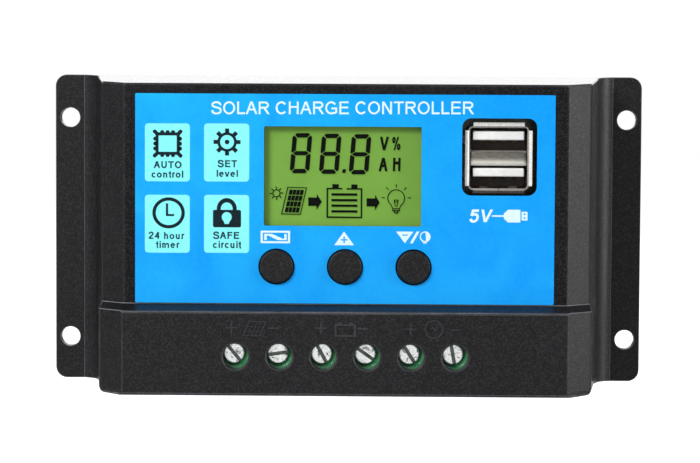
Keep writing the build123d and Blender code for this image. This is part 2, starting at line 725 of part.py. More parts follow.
export_piece(terminal_block(), "terminal_block")
export_piece([contact_bar(x) for x in POLE_XS], "terminal_contact_bars")
for number, (x, slot_angle) in enumerate(zip(POLE_XS, SLOT_ANGLES), start=1):
    export_piece(wire_cage(x), f"wire_cage_{number}")
    export_piece(terminal_screw(x, slot_angle), f"terminal_screw_{number}")

# ---------------------------------------------------------------- board components
# name: x, y, radius, height, half the lead spacing
CAPACITORS = {
    "input_capacitor": (-36.0, 14.5, 5.0, 14.5, 2.5),
    "output_capacitor": (-42.5, 3.0, 4.0, 11.5, 1.75),
}
CAN_BACK = BOARD_FRONT + 0.3
INDUCTOR = (33.0, -7.0)
MCU_X, MCU_Y = -1.0, 13.0
REGULATOR = (24.5, -5.0)

# x, y, width, height
SURFACE_PARTS = (
    (-26, -1, 2.0, 1.25), (-26, 2, 2.0, 1.25), (-26, 5, 2.0, 1.25), (8, 20.5, 1.6, 0.8),
    (8, 17, 1.6, 0.8), (8, 14, 1.6, 0.8), (-10, 20, 1.6, 0.8), (-10, 16, 1.6, 0.8),
    (28, -13, 3.2, 1.6), (38.5, -13, 3.2, 1.6), (22, 3, 2.0, 1.25), (24, 7, 2.0, 1.25),
    (-26, 22, 3.2, 1.6), (-26, 26, 3.2, 1.6), (-39, -9.8, 6.3, 3.1), (-30, -12, 6.3, 3.1),
)


def on_board(low, high):
    """z limits given as heights above the board's front."""
    return BOARD_FRONT + low, BOARD_FRONT + high


def capacitor(x, y, radius, height):
    can = cylinder(x, y, CAN_BACK, CAN_BACK + height, radius)
    can = fillet(can.edges().sort_by(Axis.Z)[-1], 0.5)
    # crimped ring near the board
    can -= Pos(x, y, BOARD_FRONT + 2.2) * Torus(radius + 0.35, 0.6)
    return can


def capacitor_lead(x, y):
    drill(x, y, 0.45)
    return cylinder(x, y, 9.4, CAN_BACK, 0.3)


def inductor_core():
    core = cylinder(*INDUCTOR, *on_board(0.05, 1.4), 4.5)
    core += cylinder(*INDUCTOR, *on_board(1.3, 6.6), 2.0)
    core += cylinder(*INDUCTOR, *on_board(6.5, 7.8), 4.5)
    return core


def inductor_winding():
    back, front = on_board(1.5, 6.4)
    turns = 8
    winding = cylinder(*INDUCTOR, back, front, 3.9) - cylinder(*INDUCTOR, 10, 30, 2.1)
    for turn in range(turns):
        z = back + (turn + 0.5) * (front - back) / turns
        winding -= Pos(*INDUCTOR, z) * Torus(4.1, 0.16)
    return winding


def microcontroller():
    chip = box_at(MCU_X, MCU_Y, 10.0, 10.0, *on_board(0.1, 1.5))
    chip = chamfer(chip.edges().filter_by(Axis.Z), 0.5)
    return chip - cylinder(MCU_X - 4.0, MCU_Y + 4.0, *on_board(1.3, 3), 0.5)


def microcontroller_pins():
    pins = []
    for n in range(11):
        along = -4.0 + n * 0.8
        for out in (-5.5, 5.5):
            pins.append(box_at(MCU_X + along, MCU_Y + out, 0.32, 1.0, *on_board(0, 0.2)))
            pins.append(box_at(MCU_X + out, MCU_Y + along, 1.0, 0.32, *on_board(0, 0.2)))
    return pins


def usb_regulator():
    chip = box_at(*REGULATOR, 4.0, 5.0, *on_board(0.1, 1.6))
    edges = [e for e in chip.edges().filter_by(Axis.Y) if e.center().Z > BOARD_FRONT + 1]
    return chamfer(edges, 0.25)


def usb_regulator_pins():
    x, y = REGULATOR
    return [
        box_at(x + out, y + (n - 1.5) * 1.27, 1.1, 0.4, *on_board(0, 0.25))
        for n in range(4) for out in (-2.55, 2.55)
    ]


def diodes():
    blocks = [
        box(-42.0, -36.7, -6.4, -2.8, *on_board(0.05, 2.3)),
        box(41.0, 45.3, -3.5, -0.9, *on_board(0.05, 2.1)),
    ]
    return [chamfer(block.edges().filter_by(Axis.Z), 0.3) for block in blocks]


capacitor_leads = []
for name, (x, y, radius, height, lead_x) in CAPACITORS.items():
    export_piece(capacitor(x, y, radius, height), name)
    capacitor_leads += [capacitor_lead(x - lead_x, y), capacitor_lead(x + lead_x, y)]
export_piece(capacitor_leads, "capacitor_leads")
export_piece(inductor_core(), "inductor_core")
export_piece(inductor_winding(), "inductor_winding")
export_piece(microcontroller(), "microcontroller")
export_piece(microcontroller_pins(), "microcontroller_pins")
export_piece(usb_regulator(), "usb_regulator")
export_piece(usb_regulator_pins(), "usb_regulator_pins")
export_piece(diodes(), "diodes")
export_piece([box_at(*part, *on_board(0, 0.6)) for part in SURFACE_PARTS], "surface_mount_parts")


# ---------------------------------------------------------------- circuit board
def circuit_board():
    """Made last, once every leaded part has added its holes."""
    board = box(*BOARD_EDGES, BOARD_BACK, BOARD_FRONT)
    # corners cleared for the back plate posts
    for x, y in PLATE_POSTS:
        side, end = math.copysign(1, x), math.copysign(1, y)
        board -= box(x - side * 4, x + side * 9, y - end * 4, y + end * 9, 5, 15)
    for x, y in BOARD_POSTS:
        board -= cylinder(x, y, 5, 15, 1.3)
    for x in TRANSISTOR_LEG_XS:
        board -= cylinder(x, 0.85, 5, 15, 0.6)
    for x, y, radius in board_holes:
        board -= cylinder(x, y, 5, 15, radius)
    return board


export_piece(circuit_board(), "circuit_board")
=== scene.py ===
"""Looks for the wall-mounted solar charge controller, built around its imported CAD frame.

The controller stands upright: its face looks along -Y, X runs to the right as seen from
the front, and Z is up. Artwork and textures are laid out in millimetres; the stage, lights
and camera are in metres.
"""

import math

import bmesh
import bpy
from mathutils import Matrix, Vector
from mathutils.geometry import tessellate_polygon

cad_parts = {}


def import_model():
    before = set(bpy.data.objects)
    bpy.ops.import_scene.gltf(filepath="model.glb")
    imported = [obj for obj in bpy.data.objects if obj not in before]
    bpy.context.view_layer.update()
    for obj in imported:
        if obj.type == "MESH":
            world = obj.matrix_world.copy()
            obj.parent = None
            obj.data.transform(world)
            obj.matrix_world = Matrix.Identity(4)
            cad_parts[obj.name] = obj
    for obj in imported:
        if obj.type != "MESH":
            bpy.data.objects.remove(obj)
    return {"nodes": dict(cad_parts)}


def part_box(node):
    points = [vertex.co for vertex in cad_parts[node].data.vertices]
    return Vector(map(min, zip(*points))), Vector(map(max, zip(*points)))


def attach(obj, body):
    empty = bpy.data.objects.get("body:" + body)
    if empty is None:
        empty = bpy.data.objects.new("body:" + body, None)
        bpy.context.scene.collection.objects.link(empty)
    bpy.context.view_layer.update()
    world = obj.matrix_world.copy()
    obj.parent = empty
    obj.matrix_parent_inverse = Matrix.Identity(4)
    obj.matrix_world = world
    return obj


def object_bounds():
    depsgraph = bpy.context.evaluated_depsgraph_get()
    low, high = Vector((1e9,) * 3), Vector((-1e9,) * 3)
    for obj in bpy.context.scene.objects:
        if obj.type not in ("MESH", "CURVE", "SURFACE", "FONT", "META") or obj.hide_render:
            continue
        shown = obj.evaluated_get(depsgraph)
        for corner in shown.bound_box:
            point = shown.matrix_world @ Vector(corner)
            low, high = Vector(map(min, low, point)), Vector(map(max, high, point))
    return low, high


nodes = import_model()["nodes"]
cad_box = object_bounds()

scene = bpy.context.scene
MM = 0.001
X, Y, Z = range(3)

# distances in front of the XZ plane, mm
LABEL_FRONT = -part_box("face_label")[0].y / MM
LCD_FRONT = -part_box("lcd_polariser")[0].y / MM
COVER_FRONT = -cad_box[0].y / MM
PRINT = 0.03              # thickness of a printed layer
SUNK = 0.02               # how far a print's back lies behind the face that carries it


# =====================================================================================
# material tools
# =====================================================================================
MIDDLE = (0.3, 0.7)       # the part of a noise's range that holds most of its values


def srgb(*channels):
    """sRGB 0..255 to linear."""
    out = []
    for value in channels:
        value /= 255.0
        out.append(value / 12.92 if value <= 0.04045 else ((value + 0.055) / 1.055) ** 2.4)
    return tuple(out)


def scaled(colour, factor):
    return tuple(channel * factor for channel in colour)


class Mat:
    """A Principled material whose textures and lengths are in millimetres."""

    def __init__(self, name, rough=0.5, metal=0.0, spec=0.5):
        self.material = bpy.data.materials.new(name)
        self.material.use_nodes = True
        self.tree = self.material.node_tree
        self.tree.nodes.clear()
        self.output = self.node("ShaderNodeOutputMaterial")
        self.bsdf = self.node("ShaderNodeBsdfPrincipled", {
            "Roughness": rough, "Metallic": metal, "Specular IOR Level": spec, "IOR": 1.5})
        self.plug(self.output.inputs[0], self.bsdf.outputs[0])
        coords = self.node("ShaderNodeTexCoord")
        self.position = self.node("ShaderNodeMapping", {
            "Scale": (1000, 1000, 1000), "Vector": coords.outputs["Object"]}).outputs[0]
        self.normal = None

    def plug(self, socket, value):
        """Link another node's output to a socket, or set the socket's own value."""
        if isinstance(value, bpy.types.NodeSocket):
            self.tree.links.new(value, socket)
        else:
            socket.default_value = value

    def node(self, kind, inputs=None):
        node = self.tree.nodes.new(kind)
        for key, value in (inputs or {}).items():
            self.plug(node.inputs[key], value)
        return node

    def set(self, name, value):
        self.plug(self.bsdf.inputs[name], value)

    def mapping(self, scale=(1, 1, 1), turn=(0, 0, 0)):
        return self.node("ShaderNodeMapping", {
            "Scale": scale, "Rotation": turn, "Vector": self.position}).outputs[0]

    def noise(self, scale, detail=3.0, rough=0.55, distortion=0.0, vector=None):
        return self.node("ShaderNodeTexNoise", {
            "Scale": scale, "Detail": detail, "Roughness": rough, "Distortion": distortion,
            "Vector": vector or self.position}).outputs[0]

    def ramp(self, value, stops):
        """A colour ramp; stops are (position, colour)."""
        node = self.node("ShaderNodeValToRGB", {0: value})
        elements = node.color_ramp.elements
        while len(elements) < len(stops):
            elements.new(0.5)
        for element, (position, colour) in zip(elements, stops):
            element.position = position
            element.color = (*colour, 1.0)
        return node.outputs[0]

    def fit(self, value, span=(0.0, 1.0), out=(0.0, 1.0)):
        """Carry the range span over to the range out."""
        return self.node("ShaderNodeMapRange", {
            "From Min": span[0], "From Max": span[1],
            "To Min": out[0], "To Max": out[1], "Value": value}).outputs[0]

    def math(self, operation, one, other):
        node = self.node("ShaderNodeMath", {0: one, 1: other})
        node.operation = operation
        return node.outputs[0]

    def times(self, one, other):
        return self.math("MULTIPLY", one, other)

    def mix(self, factor, one, other):
        node = self.node("ShaderNodeMix")
        node.data_type = "RGBA"
        self.plug(node.inputs[0], factor)
        for slot, colour in ((6, one), (7, other)):
            self.plug(node.inputs[slot], (*colour, 1.0) if isinstance(colour, tuple) else colour)
        return node.outputs[2]

    def clouded(self, noise, one, other):
        """Two colours in soft patches."""
        return self.mix(self.fit(noise, span=MIDDLE), one, other)

    def axis(self, index):
        """One coordinate in millimetres."""
        return self.node("ShaderNodeSeparateXYZ", {0: self.position}).outputs[index]

    def window(self, index, low, high, soft=0.1):
        """1 where a coordinate lies between low and high, in mm."""
        place = self.axis(index)
        return self.times(self.fit(place, span=(low - soft, low)),
                          self.fit(place, span=(high, high + soft), out=(1, 0)))

    def edges(self, radius, soft=0.955):
        """1 along the corners of the shape, 0 on its flats."""
        geometry = self.node("ShaderNodeNewGeometry")
        rounded = self.node("ShaderNodeBevel", {"Radius": radius * MM})
        rounded.samples = 6
        dot = self.node("ShaderNodeVectorMath", {
            0: geometry.outputs["True Normal"], 1: rounded.outputs[0]})
        dot.operation = "DOT_PRODUCT"
        return self.fit(dot.outputs["Value"], span=(0.999, soft))

    def bevel(self, radius):
        node = self.node("ShaderNodeBevel", {"Radius": radius * MM})
        node.samples = 4
        self.normal = node.outputs[0]
        self.set("Normal", self.normal)

    def bump(self, height, depth, strength=1.0):
        node = self.node("ShaderNodeBump", {
            "Strength": strength, "Distance": depth * MM, "Height": height})
        if self.normal is not None:
            self.plug(node.inputs["Normal"], self.normal)
        self.normal = node.outputs[0]
        self.set("Normal", self.normal)

    def colour(self, value):
        self.set("Base Color", value)

    def patchy_rough(self, noise, low, high):
        self.set("Roughness", self.fit(noise, span=MIDDLE, out=(low, high)))

    def coat(self, weight, rough=0.1):
        self.set("Coat Weight", weight)
        self.set("Coat Roughness", rough)


# =====================================================================================
# plastics
# =====================================================================================
def housing_painted_light(mat, base):
    """The housing's painted edge highlights and painted shade around the sockets: its colour and a
    factor on its shine.
    """
    # painted highlight: a bevel mask along the corners, broken into patches, lightens the colour
    # towards grey
    wear_and_painted_light = mat.times(mat.edges(radius=0.30, soft=0.965), 0.85)
    patches = mat.fit(mat.noise(scale=0.22), span=(0.35, 0.65), out=(0.60, 1.0))
    wear_and_painted_light = mat.times(wear_and_painted_light, patches)
    # the painted edge highlight stays on the corners in front of the board and is weakened inside
    # the openings
    wear_and_painted_light = mat.times(wear_and_painted_light, mat.fit(mat.axis(Y), span=(-2.5, -2.0), out=(1, 0)))
    openings = mat.times(mat.window(X, low=-32, high=32), mat.window(Z, low=-30, high=-22))
    wear_and_painted_light = mat.times(wear_and_painted_light, mat.fit(openings, out=(1.0, 0.25)))
    base = mat.mix(wear_and_painted_light, base, (0.34, 0.34, 0.38))
    # painted shade: the colour goes nearly black around the socket opening, and its shine is cut
    # there too
    usb_painted_shade = mat.times(mat.window(X, low=25.0, high=41.55), mat.window(Z, low=8.8, high=25.8))
    base = mat.mix(mat.times(usb_painted_shade, 0.93), base, (0.0004, 0.0005, 0.0009))
    # the display face is duller than the rest
    face_on = mat.times(mat.window(Y, low=-31.2, high=-30.72, soft=0.05),
                        mat.window(Z, low=-15.2, high=33.4))
    dim = mat.times(mat.fit(usb_painted_shade, out=(1, 0.1)), mat.fit(face_on, out=(1, 0.45)))
    return base, dim


def black_abs(name, rough=0.46, grain=0.010, lift=1.0, bevel=0.18, wear_and_painted_light=False):
    """Spark-eroded black ABS: pebbled grain, tiny bright facets, glossier at grazing angles."""
    mat = Mat(name, rough=rough, spec=0.34)
    mat.bevel(radius=bevel)
    broad = mat.noise(scale=0.035, detail=2)
    fine = mat.noise(scale=2.6, detail=4, rough=0.62)
    cells = mat.node("ShaderNodeTexVoronoi", {"Scale": 3.8, "Vector": mat.position})
    facets = mat.ramp(cells.outputs["Color"],
                      [(0.0, (0, 0, 0)), (0.50, (0.06, 0.06, 0.06)), (0.78, (1, 1, 1))])
    base = mat.mix(mat.fit(broad, span=(0.35, 0.65)), scaled((0.0030, 0.0030, 0.0036), lift),
                   scaled((0.0052, 0.0050, 0.0058), lift))
    base = mat.mix(mat.times(facets, 0.42), base, (0.046, 0.046, 0.051))
    # the housing also gets painted edge highlights and painted shade around the sockets
    if wear_and_painted_light:
        base, dim = housing_painted_light(mat, base)
    mat.colour(base)

    facing = mat.node("ShaderNodeLayerWeight", {"Blend": 0.5}).outputs["Facing"]
    graze = mat.fit(facing, span=(0.72, 0.93))
    matte = mat.math("ADD", mat.fit(fine, span=MIDDLE, out=(-0.10, 0.12)),
                     mat.fit(broad, span=MIDDLE, out=(rough - 0.03, rough + 0.03)))
    grazing_rough = 0.14
    gloss = mat.node("ShaderNodeMix", {0: graze, 2: matte, 3: grazing_rough})
    mat.set("Roughness", gloss.outputs[0])
    shine = mat.fit(graze, out=(0.29, 1.0))
    mat.set("Specular IOR Level", mat.times(shine, dim) if wear_and_painted_light else shine)
    mat.bump(fine, depth=grain)
    return mat.material


def plastic(name, one, other, rough, spec=0.5, scale=0.8, grain=0.003, coat=0.0):
    """Injection-moulded plastic: slight flow mottling and a fine skin."""
    mat = Mat(name, rough=rough, spec=spec)
    mat.bevel(radius=0.1)
    cloud = mat.noise(scale=scale, detail=4, rough=0.6, distortion=0.4)
    mat.colour(mat.clouded(cloud, one, other))
    mat.patchy_rough(mat.noise(scale=3), low=rough - 0.06, high=rough + 0.08)
    mat.bump(mat.noise(scale=6), depth=grain, strength=0.8)
    if coat:
        mat.coat(coat)
    return mat.material


def socket_resin():
    """White moulded resin, white at the tongue tips and darkening to brown deep inside: painted
    shade.
    """
    mat = Mat("usb_white_resin", rough=0.42, spec=0.4)
    mat.bevel(radius=0.08)
    # painted shade: the colour turns brown and dark with depth into the socket
    deep = mat.fit(mat.axis(Y), span=(-27.9, -25.4))
    cloud = mat.noise(scale=0.8, detail=4, rough=0.6)
    white = mat.clouded(cloud, srgb(252, 252, 249), srgb(242, 243, 240))
    brown = mat.clouded(cloud, (0.085, 0.062, 0.053), (0.15, 0.115, 0.10))
    mat.colour(mat.mix(deep, white, brown))
    mat.patchy_rough(mat.noise(scale=3), low=0.36, high=0.5)
    mat.bump(mat.noise(scale=6), depth=0.003, strength=0.8)
    return mat.material


def board():
    """Green solder mask over copper tracks."""
    mat = Mat("solder_mask_green", rough=0.28)
    mat.bevel(radius=0.05)
    bricks = mat.node("ShaderNodeTexBrick", {
        "Scale": 0.16, "Mortar Size": 0.03, "Vector": mat.mapping(turn=(math.radians(90), 0, 0))})
    bricks.offset = 0.37
    tracks = bricks.outputs["Fac"]
    base = mat.mix(tracks, (0.008, 0.105, 0.035), (0.018, 0.20, 0.07))
    mottle = mat.fit(mat.noise(scale=0.3, detail=4), out=(0, 0.4))
    mat.colour(mat.mix(mottle, base, (0.004, 0.06, 0.02)))
    mat.bump(tracks, depth=0.03, strength=0.7)
    mat.coat(0.4, rough=0.15)
    return mat.material


# =====================================================================================
# label, ink and display
# =====================================================================================
def label_blue():
    """Blue label film, its tone drifting from left to right and from bottom to top: painted light,
    lightest at the upper left and deepest blue at the upper right.
    """
    mat = Mat("label_film_blue", rough=0.42, spec=0.10)
    cloud = mat.noise(scale=0.085, distortion=0.6)
    mottle = mat.noise(scale=0.9, detail=4, rough=0.6)
    # painted light falling from the upper left: lightest at the upper left, deepest blue at the
    # upper right
    right = mat.fit(mat.axis(X), span=(-46, 46))
    top = mat.fit(mat.axis(Z), span=(-15, 31))
    along_top = mat.mix(right, srgb(28, 184, 255), srgb(4, 158, 255))
    along_bottom = mat.mix(right, srgb(26, 172, 255), srgb(30, 172, 255))
    base = mat.mix(top, along_bottom, along_top)
    base = mat.mix(mat.fit(cloud, span=(0.35, 0.68), out=(0, 0.75)), base, srgb(6, 154, 252))
    base = mat.mix(mat.fit(mottle, span=(0.4, 0.7), out=(0, 0.16)), base, srgb(52, 192, 255))
    mat.colour(base)
    mat.patchy_rough(mat.noise(scale=4, detail=4), low=0.34, high=0.5)
    mat.bump(mat.noise(scale=9), depth=0.0018, strength=0.8)
    return mat.material


def ink(name, one, other, rough=0.5, spec=0.2):
    """Screen-printed ink: slightly uneven density and a dry surface."""
    mat = Mat(name, rough=rough, spec=spec)
    mat.colour(mat.clouded(mat.noise(scale=2.2, detail=4), one, other))
    mat.patchy_rough(mat.noise(scale=5, detail=2), low=rough - 0.06, high=rough + 0.06)
    mat.bump(mat.noise(scale=12, detail=2), depth=0.001, strength=0.6)
    return mat.material


def lcd_film():
    """A reflective twisted-nematic panel: olive green with a faint mottling, and painted shade
    that darkens it slightly towards the top.
    """
    mat = Mat("lcd_green_film", rough=0.3, spec=0.12)
    # painted shade: slightly darker towards the top
    height = mat.fit(mat.axis(Z), span=(2.0, 23.7))
    tone = mat.mix(height, srgb(121, 170, 68), srgb(116, 163, 65))
    cloud = mat.fit(mat.noise(scale=0.25), span=(0.35, 0.7), out=(0, 0.5))
    tone = mat.mix(cloud, tone, srgb(110, 157, 58))
    mottle = mat.fit(mat.noise(scale=5), span=(0.4, 0.7), out=(0, 0.3))
    mat.colour(mat.mix(mottle, tone, srgb(132, 180, 80)))
    mat.patchy_rough(mat.noise(scale=3), low=0.26, high=0.38)
    mat.bump(mat.noise(scale=10, detail=2), depth=0.001, strength=0.6)
    mat.coat(0.06, rough=0.12)
    return mat.material


def glass(name, tint):
    mat = Mat(name, rough=0.06)
    cloud = mat.fit(mat.noise(scale=0.4, detail=2))
    mat.colour(mat.mix(cloud, tint, scaled(tint, 0.9)))
    mat.set("Transmission Weight", 0.85)
    mat.set("Roughness", mat.fit(mat.noise(scale=2), out=(0.04, 0.09)))
    mat.bump(mat.noise(scale=0.8, detail=2), depth=0.002, strength=0.4)
    return mat.material


# =====================================================================================
# metals
# =====================================================================================
def metal(name, colour, rough, along=(1, 1, 1), stain=None):
    """Plated sheet metal or turned metal: cloudy tone and directional scratches."""
    mat = Mat(name, rough=rough, metal=1.0)
    mat.bevel(radius=0.08)
    cloud = mat.noise(scale=0.6, detail=4, rough=0.6)
    scratches = mat.noise(scale=4, rough=0.7, vector=mat.mapping(scale=along))
    base = mat.clouded(cloud, scaled(colour, 0.78), colour)
    if stain:
        spots = mat.noise(scale=1.7, detail=5, rough=0.7)
        base = mat.mix(mat.fit(spots, span=(0.52, 0.75), out=(0, 0.55)), base, stain)
    mat.colour(base)
    mat.set("Roughness", mat.math(
        "ADD", mat.fit(scratches, span=(0.25, 0.75), out=(-0.125, 0.125)),
        mat.fit(cloud, span=MIDDLE, out=(rough - 0.05, rough + 0.05))))
    mat.bump(scratches, depth=0.004, strength=0.7)
    return mat.material


def shell_steel():
    """Nickel-plated steel: bright lips, painted shade on the inner walls, the bottom lip and the
    mouth, and a painted highlight along its outer edges.
    """
    mat = Mat("usb_nickel_steel", rough=0.24, metal=0.1, spec=0.8)
    mat.bevel(radius=0.06)
    cloud = mat.noise(scale=1.1, detail=4, rough=0.6)
    bright = mat.clouded(cloud, (0.99, 0.98, 0.94), (0.86, 0.84, 0.79))
    painted_shade_tone = mat.clouded(cloud, (0.085, 0.066, 0.055), (0.15, 0.125, 0.105))
    # painted shade: dark inside the socket, on the bottom lip and across each mouth
    inside = mat.fit(mat.axis(Y), span=(-29.2, -28.2))
    low = mat.fit(mat.axis(Z), span=(10.05, 10.12), out=(1, 0))
    mouth = mat.times(mat.window(X, low=26.62, high=39.68, soft=0.05),
                      mat.window(Z, low=10.12, high=23.88, soft=0.05))
    shade = mat.math("MAXIMUM", mat.times(low, 0.9), mat.times(mouth, 0.80))
    shade = mat.math("MAXIMUM", inside, shade)
    tone = mat.mix(shade, bright, painted_shade_tone)
    # painted highlight along the edges, kept off the inside of the socket
    painted_edge_highlight = mat.times(mat.edges(radius=0.07), mat.fit(inside, out=(0.55, 0.0)))
    mat.colour(mat.mix(painted_edge_highlight, tone, (0.80, 0.78, 0.74)))
    mat.patchy_rough(mat.noise(scale=3), low=0.16, high=0.34)
    mat.bump(mat.noise(scale=3.4, detail=4), depth=0.0015, strength=0.7)
    return mat.material


def divider_steel():
    """The pressed bar between the sockets: painted shade towards its upper edge, a painted
    highlight below, patches of wear, and painted highlights on its corners.
    """
    mat = Mat("usb_divider_steel", rough=0.24, metal=0.1, spec=0.6)
    mat.bevel(radius=0.12)
    # painted light by height: a highlight at the lower edge, shade over most of the bar, a lighter
    # line at the top edge
    tone = mat.ramp(mat.fit(mat.axis(Z), span=(15.35, 18.6)), [
        (0.0, (1.0, 0.98, 0.92)), (0.12, (0.95, 0.92, 0.85)), (0.26, (0.72, 0.69, 0.61)),
        (0.38, (0.36, 0.34, 0.29)), (0.52, (0.15, 0.14, 0.118)), (0.80, (0.118, 0.112, 0.094)),
        (0.94, (0.118, 0.112, 0.094)), (1.0, (0.45, 0.44, 0.41)),
    ])
    wear = mat.noise(scale=1.6, detail=5, rough=0.7, vector=mat.mapping(scale=(0.4, 1, 2.4)))
    wear_and_painted_light = mat.fit(wear, span=(0.42, 0.75), out=(0, 0.22))
    tone = mat.mix(wear_and_painted_light, tone, (0.30, 0.285, 0.24))
    # painted highlight on the corners
    mat.colour(mat.mix(mat.times(mat.edges(radius=0.14), 0.6), tone, (0.85, 0.83, 0.78)))
    mat.patchy_rough(wear, low=0.18, high=0.36)
    mat.bump(wear, depth=0.006, strength=0.8)
    return mat.material


def screw_steel():
    """A driven screw head: bright plating, driver burrs, dark smudges, and painted shade in the
    slot and on the rim.
    """
    mat = Mat("terminal_screw_nickel", rough=0.28, metal=0.85)
    mat.bevel(radius=0.10)
    cloud = mat.noise(scale=0.9, detail=4, rough=0.6)
    burrs = mat.noise(scale=3, rough=0.7,
                      vector=mat.mapping(scale=(1.8, 1, 0.5), turn=(0, 0.6, 0)))
    base = mat.clouded(cloud, (1.0, 1.0, 1.0), (0.95, 1.0, 0.97))
    smear = mat.noise(scale=0.50, detail=6, rough=0.72, distortion=1.8)
    smear = mat.fit(smear, span=(0.53, 0.61), out=(0, 0.92))
    base = mat.mix(smear, base, (0.035, 0.05, 0.042))
    # painted shade: darker with depth into the slot
    slot = mat.fit(mat.axis(Y), span=(-32.02, -31.75))
    base = mat.mix(mat.times(slot, 0.93), base, (0.045, 0.066, 0.054))
    # painted shade on the head's rounded rim
    tone = mat.mix(mat.times(mat.edges(radius=0.10), 0.35), base, (0.025, 0.04, 0.032))
    mat.colour(tone)
    # the glow stands in for the bright paper it faces
    mat.set("Emission Color", tone)
    mat.set("Emission Strength", 0.20)
    mat.set("Roughness", mat.math(
        "ADD", mat.fit(burrs, span=(0.25, 0.75), out=(-0.08, 0.12)),
        mat.fit(cloud, span=MIDDLE, out=(0.20, 0.34))))
    mat.bump(burrs, depth=0.012, strength=0.7)
    return mat.material


def aluminium():
    """Rolled aluminium sheet, brushed along its length, with a few handling marks."""
    mat = Mat("rolled_aluminium", rough=0.34, metal=1.0)
    mat.bevel(radius=0.12)
    brushing = mat.noise(scale=1, detail=5, rough=0.75, vector=mat.mapping(scale=(0.05, 4, 7)))
    cloud = mat.noise(scale=0.05)
    marks = mat.noise(scale=0.22, detail=6, rough=0.8, distortion=1.2)
    base = mat.clouded(brushing, (0.62, 0.63, 0.64), (0.80, 0.81, 0.82))
    base = mat.mix(mat.fit(cloud, span=(0.35, 0.65), out=(0, 0.35)), base, (0.55, 0.56, 0.58))
    base = mat.mix(mat.fit(marks, span=(0.62, 0.8), out=(0, 0.4)), base, (0.42, 0.43, 0.44))
    mat.colour(base)
    mat.set("Roughness", mat.math(
        "ADD", mat.fit(brushing, span=MIDDLE, out=(-0.08, 0.1)),
        mat.fit(marks, span=(0.3, 0.8), out=(0.28, 0.42))))
    mat.bump(brushing, depth=0.006, strength=0.8)
    return mat.material


# =====================================================================================
# all materials, and the CAD pieces that wear them
# =====================================================================================
MAT = {
    "housing": black_abs("housing_abs", wear_and_painted_light=True),
    "button": black_abs("button_abs", rough=0.52, grain=0.006, lift=0.9, bevel=0.12),
    # the raised symbols get a base colour nine times lighter than the housing's: painted highlight
    # for the glint on their edges
    "emboss": black_abs("embossed_abs", rough=0.3, grain=0.002, lift=9.0, bevel=0.05),
    "label": label_blue(),
    "ink_cyan": ink("ink_pale_cyan", srgb(128, 247, 252), srgb(150, 253, 255)),
    "ink_dark": ink("ink_dark_teal", srgb(2, 22, 34), srgb(6, 34, 44)),
    "ink_text": ink("ink_teal", srgb(2, 44, 60), srgb(6, 60, 76)),
    "ink_white": ink("ink_white", srgb(216, 247, 255), srgb(232, 252, 255)),
    "lcd": lcd_film(),
    "lcd_ink": ink("lcd_segment", srgb(4, 8, 4), srgb(10, 16, 8), spec=0.08),
    "lcd_painted_shadow": ink("lcd_segment_shadow", srgb(100, 144, 52), srgb(106, 150, 56),
                     rough=0.4, spec=0.15),
    "glass": glass("lcd_glass_clear", tint=(0.75, 0.85, 0.7)),
    "guide": plastic("light_guide", srgb(190, 214, 120), srgb(170, 200, 96), rough=0.25, coat=0.3),
    "usb_steel": shell_steel(),
    "usb_mid": divider_steel(),
    "usb_white": socket_resin(),
    "gold": metal("contact_gold", (0.86, 0.62, 0.27), rough=0.2, stain=(0.5, 0.3, 0.12)),
    "screw": screw_steel(),
    "cage": metal("cage_nickel", (0.70, 0.69, 0.66), rough=0.3, stain=(0.36, 0.33, 0.28)),
    "zinc": metal("zinc_steel", (0.68, 0.70, 0.72), rough=0.3, stain=(0.45, 0.43, 0.33)),
    "tin": metal("tinned_copper", (0.72, 0.72, 0.70), rough=0.34),
    "copper": metal("enamelled_copper", (0.72, 0.30, 0.13), rough=0.24, along=(1, 1, 6)),
    "alu": aluminium(),
    "green": plastic("terminal_green_pa", srgb(46, 128, 80), srgb(26, 96, 54), rough=0.2,
                     spec=0.6, scale=0.5, coat=0.8),
    "chip": plastic("chip_epoxy", (0.012, 0.012, 0.013), (0.022, 0.022, 0.023), rough=0.55,
                    grain=0.01),
    "sleeve": plastic("can_sleeve", (0.006, 0.010, 0.028), (0.010, 0.016, 0.045), rough=0.22,
                      coat=0.4),
    "ferrite": plastic("ferrite_core", (0.02, 0.02, 0.021), (0.05, 0.05, 0.052), rough=0.7,
                       grain=0.02),
    "silicone": plastic("silicone_pad", (0.22, 0.23, 0.24), (0.30, 0.31, 0.32), rough=0.8,
                        grain=0.01),
    "ceramic": plastic("chip_ceramic", (0.30, 0.22, 0.13), (0.05, 0.05, 0.05), rough=0.4,
                       scale=0.25),
    "board": board(),
}

PIECES = {
    "housing": "front_housing",
    "button": "button_left button_middle button_right"
              " switch_plunger_left switch_plunger_middle switch_plunger_right",
    "label": "face_label",
    "lcd": "lcd_polariser",
    "glass": "lcd_front_glass lcd_rear_glass",
    "guide": "lcd_backlight",
    "usb_steel": "usb_shell",
    "usb_mid": "usb_divider",
    "usb_white": "usb_insulator",
    "gold": "usb_contacts",
    "screw": " ".join(f"terminal_screw_{i}" for i in range(1, 7)),
    "cage": " ".join(f"wire_cage_{i}" for i in range(1, 7)),
    "zinc": "plate_screws transistor_screws transistor_nuts board_screws",
    "tin": "transistor_tabs transistor_legs backlight_leads lcd_pins switch_covers switch_domes"
           " switch_legs terminal_contact_bars capacitor_leads microcontroller_pins"
           " usb_regulator_pins",
    "copper": "inductor_winding",
    "alu": "back_plate",
    "green": "terminal_block",
    "chip": "transistor_bodies switch_bases microcontroller usb_regulator diodes",
    "sleeve": "input_capacitor output_capacitor",
    "ferrite": "inductor_core",
    "silicone": "thermal_pad",
    "ceramic": "surface_mount_parts",
    "board": "circuit_board",
}
material_of = {piece: key for key, pieces in PIECES.items() for piece in pieces.split()}
